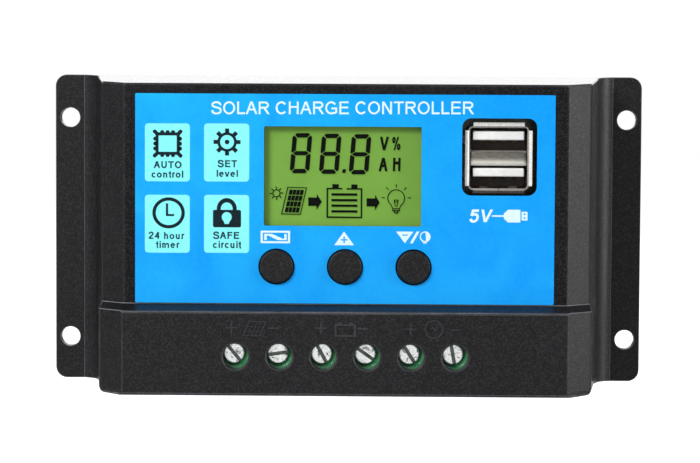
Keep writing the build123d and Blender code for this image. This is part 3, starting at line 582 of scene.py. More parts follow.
for piece, node in nodes.items():
    node.data.materials.clear()
    node.data.materials.append(MAT[material_of[piece]])


# =====================================================================================
# flat outlines: lists of (x, z) in mm
# =====================================================================================
def circle(x, z, radius, steps=40, start=0.0, end=360.0, radius_z=None):
    """A circle or ellipse, or an arc of one that keeps both its ends."""
    radius_z = radius if radius_z is None else radius_z
    count = steps if abs(end - start) >= 360 else steps + 1
    angles = [math.radians(start + (end - start) * i / steps) for i in range(count)]
    return [(x + radius * math.cos(a), z + radius_z * math.sin(a)) for a in angles]


def rect(x0, x1, z0, z1, radius=0.0, steps=6):
    if radius <= 0:
        return [(x0, z0), (x1, z0), (x1, z1), (x0, z1)]
    corners = ((x1 - radius, z0 + radius, -90), (x1 - radius, z1 - radius, 0),
               (x0 + radius, z1 - radius, 90), (x0 + radius, z0 + radius, 180))
    points = []
    for x, z, start in corners:
        points += circle(x, z, radius, steps, start, start + 90)
    return points


def arc_band(x, z, outer, inner, steps, start, end):
    """A sector of a ring."""
    return circle(x, z, outer, steps, start, end) + circle(x, z, inner, steps, start, end)[::-1]


def unit(start, end):
    """The direction from one point to another."""
    dx, dz = end[0] - start[0], end[1] - start[1]
    length = math.hypot(dx, dz)
    return dx / length, dz / length


def between(start, end, part):
    return tuple(a + (b - a) * part for a, b in zip(start, end))


def stroke(start, end, width):
    """A straight bar between two points."""
    ux, uz = unit(start, end)
    nx, nz = -uz * width / 2, ux * width / 2
    return [(start[0] + nx, start[1] + nz), (start[0] - nx, start[1] - nz),
            (end[0] - nx, end[1] - nz), (end[0] + nx, end[1] + nz)]


def spoke(x, z, degrees, inner, outer, width):
    """A bar that points away from a centre."""
    ux, uz = math.cos(math.radians(degrees)), math.sin(math.radians(degrees))
    return stroke((x + inner * ux, z + inner * uz), (x + outer * ux, z + outer * uz), width)


def trace(points, width):
    """The outline of a pen stroke drawn through a row of points."""
    left, right = [], []
    last = len(points) - 1
    for k, point in enumerate(points):
        x, z = point
        into = unit(points[k - 1], point) if k else unit(point, points[1])
        away = unit(point, points[k + 1]) if k < last else into
        ux, uz = unit((0, 0), (into[0] + away[0], into[1] + away[1]))
        reach = width / 2 / max(0.5, ux * into[0] + uz * into[1])
        left.append((x - uz * reach, z + ux * reach))
        right.append((x + uz * reach, z - ux * reach))
    return left + right[::-1]


def smooth(points, steps=3):
    """A Catmull-Rom curve through the given points."""
    out = []
    padded = [points[0], *points, points[-1]]
    for a, b, c, d in zip(padded, padded[1:], padded[2:], padded[3:]):
        for k in range(steps):
            t = k / steps
            out.append(tuple(
                0.5 * (2 * b[i] + (c[i] - a[i]) * t
                       + (2 * a[i] - 5 * b[i] + 4 * c[i] - d[i]) * t * t
                       + (3 * b[i] - a[i] - 3 * c[i] + d[i]) * t ** 3) for i in (0, 1)))
    return out + [points[-1]]


# =====================================================================================
# lettering
# =====================================================================================
def glyphs(weight):
    """A plain sans-serif: each character's advance and its parts, in units of the cap height.

    A part is a list of loops, the outer one first and then its holes.
    """
    wide, half = weight, weight / 2        # strokes of capitals and figures
    thin = weight * 0.93                   # strokes of small letters
    slim = thin / 2

    def oval(x, z, rx, rz, start, end, steps=22):
        return circle(x, z, rx, steps, start, end, rz)

    def ring(x, z, rx, rz, pen=wide):
        return [circle(x, z, rx, 40, radius_z=rz),
                circle(x, z, rx - pen, 40, radius_z=rz - pen * 0.94)[::-1]]

    def small_ring(x, z):
        pen = wide * 0.75
        return [circle(x, z, 0.21, 24, radius_z=0.25),
                circle(x, z, 0.21 - pen, 20, radius_z=0.25 - pen)[::-1]]

    def bar(x0, x1, z0, z1):
        return [rect(x0, x1, z0, z1)]

    def stem(x, top=1.0, pen=wide):
        return bar(x, x + pen, 0, top)

    def rung(x0, x1, z):
        return bar(x0, x1, z, z + wide * 0.9)

    def line(points, pen=wide):
        return [trace(points, pen)]

    def poly(*points):
        return [list(points)]

    top_rung = 1 - wide * 0.9
    arch = oval(0.386, 0.43, 0.289 - slim, 0.295 - slim, 180, 0)
    return {
        " ": (0.388, []),
        "S": (0.93, [line(smooth([
            (0.785, 0.705), (0.745, 0.835), (0.64, 0.915), (0.46, 0.947), (0.285, 0.915),
            (0.17, 0.835), (0.140, 0.735), (0.175, 0.645), (0.28, 0.585), (0.46, 0.535),
            (0.65, 0.485), (0.765, 0.41), (0.800, 0.285), (0.755, 0.15), (0.64, 0.082),
            (0.465, 0.053), (0.28, 0.085), (0.165, 0.175), (0.130, 0.325)]))]),
        "O": (1.087, [ring(0.546, 0.5, 0.479, 0.515)]),
        "C": (1.008, [line(oval(0.53, 0.5, 0.46 - half, 0.515 - half, 38, 320, 30))]),
        "G": (1.087, [line(oval(0.545, 0.5, 0.471 - half, 0.515 - half, 38, 296, 28)
                           + [(0.86, 0.10), (0.945, 0.165), (0.945, 0.455), (0.56, 0.455)])]),
        "L": (0.777, [line([(0.102 + half, 1), (0.102 + half, half * 0.95),
                            (0.729, half * 0.95)])]),
        "A": (0.93, [
            poly((0, 0), (wide * 1.08, 0), (0.46 + wide * 0.5, 1), (0.46 - wide * 0.55, 1)),
            poly((0.93, 0), (0.93 - wide * 1.08, 0), (0.47 - wide * 0.5, 1),
                 (0.47 + wide * 0.55, 1)),
            rung(0.20, 0.73, 0.30)]),
        "R": (1.008, [
            stem(0.11),
            line([(0.15, 1 - half)] + oval(0.62, 0.72, 0.30 - half, 0.28 - half, 90, -90, 14)
                 + [(0.15, 0.44 + half)]),
            poly((0.48, 0.47), (0.48 + wide * 1.25, 0.47), (0.99, 0), (0.99 - wide * 1.25, 0))]),
        "H": (1.008, [stem(0.112), stem(0.894 - wide), bar(0.2, 0.8, 0.50, 0.50 + wide * 0.92)]),
        "E": (0.93, [stem(0.11), rung(0.2, 0.85, top_rung), rung(0.2, 0.81, 0.46),
                     rung(0.2, 0.866, 0)]),
        "F": (0.853, [stem(0.11), rung(0.2, 0.80, top_rung), rung(0.2, 0.73, 0.44)]),
        "N": (1.008, [
            stem(0.106), stem(0.892 - wide),
            poly((0.106, 1), (0.106 + wide * 1.15, 1), (0.892, 0), (0.892 - wide * 1.15, 0))]),
        "T": (0.853, [rung(0.03, 0.823, top_rung), stem(0.4265 - half, top=0.95)]),
        "U": (1.008, [line([(0.106 + half, 1)]
                           + oval(0.5, 0.38, 0.394 - half, 0.395 - half, 180, 360, 20)
                           + [(0.894 - half, 1)])]),
        "V": (0.93, [
            poly((0, 1), (wide * 1.08, 1), (0.46 + wide * 0.5, 0), (0.46 - wide * 0.55, 0)),
            poly((0.93, 1), (0.93 - wide * 1.08, 1), (0.47 - wide * 0.5, 0),
                 (0.47 + wide * 0.55, 0))]),
        "%": (1.2, [small_ring(0.27, 0.75), small_ring(0.85, 0.25),
                    poly((0.26, 0), (0.26 + wide * 0.8, 0), (0.86, 1), (0.86 - wide * 0.8, 1))]),
        "2": (0.777, [line(smooth([
            (0.115, 0.71), (0.15, 0.85), (0.25, 0.925), (0.38, 0.947), (0.52, 0.915),
            (0.605, 0.82), (0.60, 0.69), (0.50, 0.54), (0.34, 0.38), (0.19, 0.23),
            (0.115, 0.10)])), rung(0.045, 0.70, 0)]),
        "4": (0.777, [
            stem(0.44), rung(0.02, 0.71, 0.24),
            poly((0.02, 0.26), (0.02 + wide * 1.2, 0.26), (0.44 + wide, 1), (0.44, 1))]),
        "5": (0.777, [line([(0.66, 1 - half), (0.20, 1 - half), (0.14, 0.50)]), line(smooth([
            (0.14, 0.50), (0.25, 0.595), (0.38, 0.62), (0.54, 0.57), (0.635, 0.45),
            (0.645, 0.31), (0.585, 0.15), (0.46, 0.065), (0.32, 0.055), (0.18, 0.12),
            (0.115, 0.26)]))]),
        "c": (0.698, [line(oval(0.375, 0.357, 0.32 - slim, 0.37 - slim, 42, 318, 24), thin)]),
        "o": (0.777, [ring(0.385, 0.357, 0.34, 0.37, thin)]),
        "n": (0.777, [stem(0.092, 0.72, thin), line(arch + [(0.675 - slim, 0)], thin)]),
        "h": (0.777, [stem(0.092, 1, thin), line(arch + [(0.675 - slim, 0)], thin)]),
        "u": (0.777, [stem(0.676 - thin, 0.72, thin),
                      line([(0.097 + slim, 0.72)]
                           + oval(0.386, 0.285, 0.289 - slim, 0.295 - slim, 180, 360), thin)]),
        "m": (1.163, [stem(0.092, 0.72, thin)] + [
            line(oval(x, 0.47, 0.246 - slim, 0.255 - slim, 180, 0, 16)
                 + [(x + 0.246 - slim, 0)], thin) for x in (0.338, 0.828)]),
        "t": (0.388, [line([(0.135 + slim, 0.93), (0.135 + slim, 0.15), (0.175 + slim, 0.075),
                            (0.27, slim * 0.9), (0.375, slim)], thin),
                      bar(0.02, 0.375, 0.72 - thin * 0.85, 0.72)]),
        "r": (0.465, [stem(0.09, 0.72, thin),
                      line(smooth([(0.09 + slim, 0.38), (0.19, 0.56), (0.30, 0.655),
                                   (0.46, 0.665)]), thin)]),
        "l": (0.31, [stem(0.09, 1, thin)]),
        "i": (0.31, [stem(0.09, 0.72, thin), bar(0.09, 0.09 + thin, 1 - thin, 1)]),
        "e": (0.777, [line(oval(0.385, 0.357, 0.335 - slim, 0.37 - slim, -2, 318, 28), thin),
                      bar(0.10, 0.70, 0.31, 0.31 + thin * 0.85)]),
        "v": (0.698, [
            poly((0, 0.72), (thin * 1.1, 0.72), (0.345 + thin * 0.5, 0),
                 (0.345 - thin * 0.55, 0)),
            poly((0.69, 0.72), (0.69 - thin * 1.1, 0.72), (0.345 - thin * 0.5, 0),
                 (0.345 + thin * 0.55, 0))]),
    }


class Art:
    """Collects flat shapes that look along -Y and turns them into one mesh of closed prisms."""

    LAYER = 0.0035        # height step between neighbours, so that overlaps don't coincide

    def __init__(self, name, material, back, front, shift=(0.0, 0.0)):
        """back and front are distances in front of the XZ plane; shift moves every shape."""
        self.name, self.material = name, MAT[material]
        self.back, self.front, self.shift = back, front, shift
        self.bm = bmesh.new()
        self.count = 0

    def add(self, *loops):
        """One shape: its outer loop, then its holes."""
        self.count += 1
        front_depth = self.front + self.LAYER * (self.count % 4)
        dx, dz = self.shift
        loops = [[(x + dx, z + dz) for x, z in loop] for loop in loops]
        flat = [point for loop in loops for point in loop]
        triangles = tessellate_polygon([[Vector((x, z, 0)) for x, z in loop] for loop in loops])
        front, back = (
            [self.bm.verts.new((x * MM, -depth * MM, z * MM)) for x, z in flat]
            for depth in (front_depth, self.back))
        for a, b, c in triangles:
            # guards against a triangle that repeats a vertex or an earlier face
            try:
                self.bm.faces.new((front[a], front[b], front[c]))
                self.bm.faces.new((back[c], back[b], back[a]))
            except ValueError:
                pass
        first = 0
        for loop in loops:
            for i in range(len(loop)):
                a, b = first + i, first + (i + 1) % len(loop)
                self.bm.faces.new((front[a], front[b], back[b], back[a]))
            first += len(loop)

    def text(self, body, x, z, cap, weight, width=None, centred=True,
             slant=0.0, spacing=0.0, tilt=0.0):
        """Lettering with its baseline at z and a cap height in mm, centred on x or begun there."""
        letters = glyphs(weight)
        pen_x, shapes = 0.0, []
        for letter in body:
            advance, parts = letters[letter]
            shapes += [[[(px + pen_x, pz) for px, pz in loop] for loop in part] for part in parts]
            pen_x += advance + spacing
        edges = [px for shape in shapes for px, _ in shape[0]]
        left, span = min(edges), max(edges) - min(edges)
        scale = cap if width is None else width / span
        start = x - scale * span / 2 if centred else x

        def place(px, pz):
            across = start + (px - left) * scale + slant * pz * cap
            return across, z + pz * cap + tilt * (across - x)

        for shape in shapes:
            self.add(*[[place(*point) for point in loop] for loop in shape])

    def done(self, slot):
        bmesh.ops.recalc_face_normals(self.bm, faces=self.bm.faces)
        mesh = bpy.data.meshes.new(self.name)
        self.bm.to_mesh(mesh)
        self.bm.free()
        piece = bpy.data.objects.new(self.name, mesh)
        scene.collection.objects.link(piece)
        mesh.materials.append(self.material)
        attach(piece, "controller")


# =====================================================================================
# function tiles on the label
# =====================================================================================
LABEL_BACK = LABEL_FRONT - SUNK
TILE_TOP = LABEL_FRONT + PRINT
ON_TILE = (TILE_TOP - 0.01, LABEL_FRONT + 2 * PRINT)      # back and front of prints on a tile

# x0, x1, z0, z1: upper left, upper right, lower left, lower right
TILES = [(-43.64, -33.86, 11.60, 24.18), (-30.78, -20.97, 11.64, 24.22),
         (-43.63, -33.85, -3.92, 8.68), (-30.76, -20.94, -3.88, 8.74)]

# tile, word, offset from its centre line, baseline below its top edge
TILE_WORDS = [
    (0, "AUTO", 0.05, 9.70), (0, "control", 0.02, 11.75),
    (1, "SET", 0.15, 9.45), (1, "level", 0.15, 11.55),
    (2, "24 hour", -0.20, 9.60), (2, "timer", 0.05, 11.55),
    (3, "SAFE", -0.10, 9.55), (3, "circuit", 0.10, 11.55),
]
UPPER_WEIGHT, UPPER_SPACING = 0.205, 0.07
LOWER_WEIGHT, LOWER_SPACING = 0.20, 0.08


def tile_point(tile, across, down):
    """A point measured from a tile's centre line and down from its top edge."""
    x0, x1, _, top = TILES[tile]
    return (x0 + x1) / 2 + across, top - down


def chip(art, x, z):
    """A square frame with rounded pads all round."""
    art.add(rect(x - 2.62, x + 2.62, z - 2.42, z + 2.42, 0.15, 3),
            rect(x - 1.98, x + 1.98, z - 1.78, z + 1.78, 0.15, 3)[::-1])
    for side in (-1, 1):
        for k in (-1, 0, 1):
            art.add(circle(x + k * 1.17, z + side * 2.50, 0.44, 16, radius_z=0.42))
            art.add(circle(x + side * 2.70, z + k * 1.07, 0.42, 16, radius_z=0.44))
        for end in (-1, 1):
            art.add(stroke((x + side * 2.2, z + end * 2.0), (x + side * 2.82, z + end * 2.66),
                           0.80))
            art.add(circle(x + side * 2.80, z + end * 2.62, 0.42, 16))


def gear(art, x, z):
    art.add(circle(x, z, 2.10, 48), circle(x, z, 1.52, 40)[::-1])
    art.add(circle(x, z, 0.50, 20))
    for k in range(8):
        art.add(spoke(x, z, 45 * k, 1.95, 2.92, 0.86))


def clock(art, x, z):
    art.add(circle(x, z, 3.52, 64, radius_z=3.38), circle(x, z, 2.80, 56, radius_z=2.66)[::-1])
    art.add([(x - 0.58, z + 2.05), (x - 0.58, z - 0.68), (x + 1.20, z - 0.68),
             (x + 1.20, z - 0.26), (x - 0.12, z - 0.26), (x - 0.12, z + 2.05)])


def padlock(art, x, z):
    middle, foot = x - 0.08, z + 1.7
    outer = circle(middle, z + 2.15, 2.16, 28, 0, 180, 2.32)
    inner = circle(middle, z + 2.15, 1.30, 24, 0, 180, 1.38)
    art.add([(middle + 2.16, foot)] + outer + [(middle - 2.16, foot), (middle - 1.30, foot)]
            + inner[::-1] + [(middle + 1.30, foot)])
    keyhole = circle(middle, z + 0.34, 1.10, 26, -52, 232)
    keyhole += [(middle - 0.46, z - 1.15), (middle + 0.46, z - 1.15)]
    art.add(rect(x - 3.06, x + 3.02, z - 1.88, z + 1.90, 0.38, 5), keyhole[::-1])


tiles = Art("label_tiles", "ink_cyan", LABEL_BACK, TILE_TOP)
for tile_box in TILES:
    tiles.add(rect(*tile_box, 0.75, 8))
tiles.done("label_blue")

pictograms = Art("label_tile_pictograms", "ink_dark", *ON_TILE)
chip(pictograms, *tile_point(0, 0.05, 4.38))
gear(pictograms, *tile_point(1, 0.08, 4.00))
clock(pictograms, *tile_point(2, 0.27, 3.92))
padlock(pictograms, *tile_point(3, 0.10, 5.16))
pictograms.done("label_blue")

words = Art("label_tile_words", "ink_text", *ON_TILE)
for i, (tile, word, across, down) in enumerate(TILE_WORDS):
    x, z = tile_point(tile, across, down)
    if i % 2:
        words.text(word, x, z, cap=1.50, weight=LOWER_WEIGHT, spacing=LOWER_SPACING)
    else:
        words.text(word, x, z, cap=1.50, weight=UPPER_WEIGHT, spacing=UPPER_SPACING)
words.done("label_blue")

# =====================================================================================
# white print on the label
# =====================================================================================
# outlines of (x, z); a second loop is a hole
LEFT_FRAME = (
    [(-18.450, 1.003), (-12.034, 1.012), (-12.052, -1.697), (-18.436, -1.705)],
    [(-17.992, 0.582), (-12.487, 0.584), (-12.510, -1.276), (-17.982, -1.278)],
)
LEFT_STEP = [
    (-17.665, 0.323), (-16.036, 0.333), (-13.686, -0.696), (-13.295, -0.694),
    (-13.300, 0.318), (-12.779, 0.321), (-12.772, -1.017), (-14.726, -1.029),
    (-16.751, -0.063), (-17.109, -0.065), (-17.104, -1.012), (-17.658, -1.015),
]
UP_TRIANGLE = [(-0.308, 0.923), (1.857, -2.033), (-2.442, -2.061)]
UP_PLUS = [
    (-0.465, -0.188), (-0.139, -0.186), (-0.136, -0.740), (0.417, -0.737),
    (0.419, -1.031), (-0.135, -1.034), (-0.132, -1.589), (-0.458, -1.591),
    (-0.461, -1.036), (-1.014, -1.040), (-1.016, -0.746), (-0.462, -0.743),
]
DOWN_TRIANGLE = [(10.993, 0.995), (14.739, 0.986), (12.896, -1.539)]
DOWN_MINUS = [(12.267, 0.350), (13.537, 0.358), (13.474, 0.097), (12.334, 0.089)]
SLASH = [(15.423, 0.990), (16.042, 0.994), (14.590, -1.561), (13.971, -1.565)]
BULB_CENTRE = (17.285, -0.108)
BULB_BASE = (
    [(16.672, -1.189), (17.779, -1.181), (17.715, -1.345), (16.738, -1.351)],
    [(16.836, -1.416), (17.650, -1.411), (17.521, -1.575), (16.967, -1.578)],
)
VOLTAGE_X, VOLTAGE_Z = 26.75, 3.15
PLUG_Z = VOLTAGE_Z + 1.35


def button_marks(art):
    """The symbols over the three buttons, from left to right."""
    frame, frame_hole = LEFT_FRAME
    art.add(frame, frame_hole[::-1])
    art.add(LEFT_STEP)
    art.add(UP_TRIANGLE, UP_PLUS[::-1])
    art.add(DOWN_TRIANGLE, DOWN_MINUS[::-1])
    art.add(SLASH)
    x, z = BULB_CENTRE
    art.add(arc_band(x, z, 1.16, 0.92, 26, 82, 286))
    art.add(circle(x + 0.02, z, 1.16, 26, -80, 88))
    for outline in BULB_BASE:
        art.add(outline)


def plug(art, z):
    """A plain plug on a lead, with two slots in its metal end."""
    art.add([(31.7, z - 0.16), (34.3, z - 0.16), (34.3, z + 0.16), (31.7, z + 0.16)])
    art.add([(34.3, z - 0.55), (35.2, z - 1.38), (37.9, z - 1.38),
             (37.9, z + 1.38), (35.2, z + 1.38), (34.3, z + 0.55)])
    art.add(rect(38.15, 39.45, z - 0.95, z + 0.95, 0.12, 3),
            rect(38.62, 39.0, z + 0.24, z + 0.60)[::-1],
            rect(38.62, 39.0, z - 0.60, z - 0.24)[::-1])


white = Art("label_white_print", "ink_white", LABEL_BACK, TILE_TOP)
white.text("SOLAR CHARGE CONTROLLER", -0.77, 26.38, cap=2.74, width=56.9, weight=0.148,
           tilt=0.0052)
button_marks(white)
# under the sockets
white.text("5V", VOLTAGE_X, VOLTAGE_Z, cap=2.75, centred=False, weight=0.20, slant=0.16,
           spacing=0.06)
plug(white, PLUG_Z)
white.done("label_blue")

# =====================================================================================
# display segments
# =====================================================================================
# seven-segment digits
DIGIT_CORNERS = [(-11.588, 22.204), (-5.232, 22.110), (1.254, 22.050)]     # upper left x, z
DIGIT_WIDTH, DIGIT_HEIGHT = 4.2697, 8.7409
SEGMENT = 0.9781          # thickness of a segment
CUT = 0.8477              # size of the cut at a digit's outer corners
GAP = 0.0848              # half the gap between two segments, along each axis
HAIR = 0.0326             # a small extra clearance
LEAN = 0.080581           # shift to the left per mm downwards
RISE = 0.0058295          # shift upwards per mm to the right
DECIMAL_POINT = [(-0.727, 14.443), (0.023, 14.448), (-0.103, 13.632), (-0.853, 13.627)]

# letter, x of its middle, z of its baseline, width
UNITS = [("V", 8.247, 18.603, 1.95), ("%", 10.855, 18.618, 1.85),
         ("A", 8.043, 14.038, 1.95), ("H", 10.976, 14.055, 1.62)]

SUN_CENTRE = (-15.106, 9.111)
PANEL = (
    [(-12.734, 10.526), (-8.463, 10.421), (-9.834, 4.447), (-14.104, 4.520)],
    [(-12.570, 10.332), (-8.691, 10.257), (-9.965, 4.642), (-13.844, 4.717)],
)
CELLS_CORNER = (-12.242, 10.008)       # upper left corner of the four by four cells
CELLS_ACROSS = (3.1946, -0.079177)     # from there along the whole top edge
CELLS_DOWN = (-1.1470, -5.0923)        # and down the whole left edge
ARROWS = (
    [(-8.191, 8.238), (-6.333, 8.216), (-6.305, 8.999), (-5.220, 7.310), (-6.385, 5.543),
     (-6.389, 6.391), (-8.182, 6.380)],
    [(4.521, 8.117), (6.346, 8.095), (6.375, 8.877), (7.361, 7.220), (6.327, 5.487),
     (6.323, 6.334), (4.530, 6.356)],
)
# the battery case, open between its terminals, then the two terminals
BATTERY = (
    [(-4.193, 10.348), (-0.771, 10.368), (-0.769, 10.042), (-3.866, 10.024),
     (-3.868, 4.156), (3.238, 4.099), (3.240, 10.000), (0.176, 9.982),
     (0.175, 10.308), (3.564, 10.328), (3.566, 3.775), (-4.192, 3.795)],
    [(-2.959, 11.170), (-1.557, 11.146), (-1.553, 10.331), (-2.955, 10.323)],
    [(1.181, 11.129), (2.517, 11.104), (2.521, 10.289), (1.185, 10.281)],
)
CHARGE_BARS = [(-3.143, 9.180), (-3.137, 7.942), (-3.130, 6.736), (-3.124, 5.497)]  # left, top
CHARGE_BAR_WIDTH, CHARGE_BAR_HEIGHT = 5.639, 0.5214
LAMP_CENTRE = (10.942, 8.187)
# angle, inner and outer radius
LAMP_RAYS = [(90, 2.35, 3.05), (133, 2.45, 3.22), (47, 2.45, 3.22), (178, 2.48, 3.15),
             (2, 2.48, 3.25)]


def digit(art, left, top):
    """Seven segments with cut corners, leaning to the right; y runs down from the top."""
    nib, middle, right = CUT / 2, DIGIT_HEIGHT / 2, DIGIT_WIDTH
    above, below = middle - SEGMENT / 2, middle + SEGMENT / 2
    cap = [(nib + GAP, nib - GAP), (CUT, 0), (right - CUT, 0), (right - nib - GAP, nib - GAP),
           (right - SEGMENT - GAP, SEGMENT), (SEGMENT + GAP, SEGMENT)]
    side = [(0, CUT + HAIR), (nib - GAP, nib + GAP), (SEGMENT, SEGMENT + GAP),
            (SEGMENT, above - GAP), (0.2282, middle - GAP - HAIR), (0, middle - 0.2935)]
    tip, shoulder = 0.2608 + GAP, SEGMENT - HAIR + GAP
    waist = [(tip, middle), (shoulder, above + HAIR), (right - shoulder, above + HAIR),
             (right - tip, middle), (right - shoulder, below - HAIR), (shoulder, below - HAIR)]

    def across(segment):
        return [(right - x, y) for x, y in segment]

    def down(segment):
        return [(x, DIGIT_HEIGHT - y) for x, y in segment]

    for segment in (cap, side, across(side), waist, down(side), down(across(side)), down(cap)):
        art.add([(left + x - LEAN * y, top - y + RISE * x) for x, y in segment])


def sun(art, x, z):
    art.add(circle(x, z, 0.90, 32), circle(x, z, 0.66, 28)[::-1])
    for k in range(8):
        art.add(spoke(x, z, 45 * k + 3, 0.98, 1.46, 0.24))


def solar_panel(art):
    """A leaning outline and its sixteen cells."""
    outline, hole = PANEL
    art.add(outline, hole[::-1])
    for row in range(4):
        for column in range(4):
            cell = []
            for right, low in ((0.05, 0.06), (0.95, 0.06), (0.95, 0.94), (0.05, 0.94)):
                s, t = (column + right) / 4, (row + low) / 4
                cell.append(tuple(
                    corner + s * step_across + t * step_down for corner, step_across, step_down
                    in zip(CELLS_CORNER, CELLS_ACROSS, CELLS_DOWN)))
            art.add(cell)


def battery(art):
    for outline in BATTERY:
        art.add(outline)
    for left, top in CHARGE_BARS:
        right, low = left + CHARGE_BAR_WIDTH, top - CHARGE_BAR_HEIGHT
        art.add([(left, top), (right, top), (right, low), (left, low)])


def lamp(art, x, z):
    """A bulb with its filament, screw base and rays."""
    art.add(arc_band(x, z, 1.92, 1.72, 44, -52, 232))
    for side in (-1, 1):
        art.add(stroke((x + side * 1.12, z - 1.44), (x + side * 0.74, z - 2.2), 0.20))
        art.add(stroke((x + side * 0.46, z - 0.42), (x + side * 0.14, z - 1.9), 0.17))
    art.add(stroke((x - 0.52, z - 0.40), (x + 0.52, z - 0.40), 0.17))
    art.add(stroke((x - 0.50, z - 0.42), (x + 0.02, z - 0.92), 0.14))
    art.add(stroke((x + 0.50, z - 0.42), (x - 0.02, z - 0.92), 0.14))
    art.add(rect(x - 0.84, x + 0.84, z - 2.42, z - 2.20, 0.08, 3))
    art.add(rect(x - 0.84, x + 0.84, z - 2.86, z - 2.62, 0.08, 3))
    for side in (-1, 1):
        art.add(stroke((x + side * 0.76, z - 2.20), (x + side * 0.76, z - 2.80), 0.18))
    art.add(arc_band(x, z - 2.84, 0.56, 0.30, 14, 180, 360))
    for degrees, inner, outer in LAMP_RAYS:
        art.add(spoke(x, z, degrees, inner, outer, 0.19))


def display(art):
    for left, top in DIGIT_CORNERS:
        digit(art, left, top)
    art.add(DECIMAL_POINT)
    for letter, x, z, width in UNITS:
        art.text(letter, x, z, cap=2.92, width=width, weight=0.235, slant=0.03)
    sun(art, *SUN_CENTRE)
    solar_panel(art)
    for arrow in ARROWS:
        art.add(arrow)
    battery(art)
    lamp(art, *LAMP_CENTRE)
    art.done("lcd_film")


# the segments float just over the film, each with a faint painted shadow behind it: a darker green
# copy, shifted right and down
display(Art("display_segment_shadows", "lcd_painted_shadow", LCD_FRONT - SUNK, LCD_FRONT + 0.012,
            shift=(0.1477, -0.1947)))
display(Art("display_segments", "lcd_ink", LCD_FRONT - SUNK, LCD_FRONT + PRINT))

# =====================================================================================
# raised symbols on the terminal cover
# =====================================================================================
PLUS_CENTRES = [(-24.502, -19.782), (-5.115, -19.785), (14.271, -19.859)]
MINUS_CENTRES = [(-15.454, -19.860), (3.932, -19.863), (23.893, -20.005)]
PLUS_REACH, MINUS_REACH, SIGN_HALF = 1.296, 1.152, 0.18    # arm lengths and half thickness
COVER_PANEL = [(-20.668, -18.310), (-16.862, -18.354), (-18.317, -21.650), (-22.159, -21.606)]
# inside corners of the panel: upper left, upper right, lower right, lower left
COVER_GRID = [(-20.487, -18.561), (-17.220, -18.610), (-18.462, -21.399), (-21.801, -21.351)]
GRID_ROW_STEP = (-0.0711, -0.1449)     # from a row line's upper edge to its lower edge
# the left and right ends of the lines that the columns start and stop on
COLUMN_TOPS = ((-20.487, -18.561), (-17.220, -18.537))
COLUMN_FEET = ((-21.801, -21.387), (-18.462, -21.363))
COLUMN_LEFT, COLUMN_RIGHT = -0.0718, 0.1077
COVER_BATTERY = (
    [(-2.176, -18.897), (2.419, -18.899), (2.433, -21.607), (-2.162, -21.604)],
    [(-1.779, -19.255), (2.026, -19.263), (2.036, -21.249), (-1.769, -21.240)],
)
COVER_BATTERY_TERMINALS = (
    [(-1.460, -18.458), (-0.670, -18.452), (-0.668, -18.922), (-1.458, -18.927)],
    [(0.909, -18.477), (1.699, -18.471), (1.701, -18.940), (0.912, -18.946)],
)
COVER_LAMP_CENTRE = (19.297, -19.895)


def plus_sign(art, x, z):
    a, b = PLUS_REACH, SIGN_HALF
    art.add([(x - b, z + a), (x - b, z + b), (x - a, z + b), (x - a, z - b),
             (x - b, z - b), (x - b, z - a), (x + b, z - a), (x + b, z - b),
             (x + a, z - b), (x + a, z + b), (x + b, z + b), (x + b, z + a)])


def cover_panel(art):
    """A slanted panel with a cell grid."""
    art.add(COVER_PANEL, COVER_GRID[::-1])
    upper_left, upper_right, lower_right, lower_left = COVER_GRID
    dx, dz = GRID_ROW_STEP
    for k in (1, 2):
        left = between(upper_left, lower_left, k / 3)
        right = between(upper_right, lower_right, k / 3)
        art.add([left, right, (right[0] + dx, right[1] + dz), (left[0] + dx, left[1] + dz)])
    for k in (1, 2, 3):
        top_x, top_z = between(*COLUMN_TOPS, k / 4)
        foot_x, foot_z = between(*COLUMN_FEET, k / 4)
        art.add([(top_x + COLUMN_LEFT, top_z), (top_x + COLUMN_RIGHT, top_z),
                 (foot_x + COLUMN_RIGHT, foot_z), (foot_x + COLUMN_LEFT, foot_z)])


def cover_lamp(art, x, z):
    """A ring with a zigzag filament and two short feet."""
    art.add(circle(x, z, 2.05, 44), circle(x, z, 1.72, 40)[::-1])
    filament = [(x - 0.75, z - 0.2), (x - 0.3, z + 0.55), (x + 0.2, z - 0.3), (x + 0.75, z + 0.5)]
    for start, end in zip(filament, filament[1:]):
        art.add(stroke(start, end, 0.26))
    for left in (-1.15, 0.35):
        art.add(rect(x + left, x + left + 0.80, z - 2.52, z - 2.2))


raised = Art("cover_symbols", "emboss", COVER_FRONT - 0.1, COVER_FRONT + 0.16)
for x, z in PLUS_CENTRES:
    plus_sign(raised, x, z)
for x, z in MINUS_CENTRES:
    raised.add(rect(x - MINUS_REACH, x + MINUS_REACH, z - SIGN_HALF, z + SIGN_HALF))
cover_panel(raised)
raised.add(COVER_BATTERY[0], COVER_BATTERY[1][::-1])
for outline in COVER_BATTERY_TERMINALS:
    raised.add(outline)
cover_lamp(raised, *COVER_LAMP_CENTRE)
raised.done("housing_black")

# =====================================================================================
# stage
# =====================================================================================
# a little below the part, so that its underside catches light off the paper
FLOOR_Z = cad_box[0].z - 0.0302
FLOOR_RADIUS = 3.0        # where the flat part ends
SWEEP_RADIUS = 1.4        # of the curve up into the wall
WALL_HEIGHT = 2.2
FLOOR_SIDES = 64


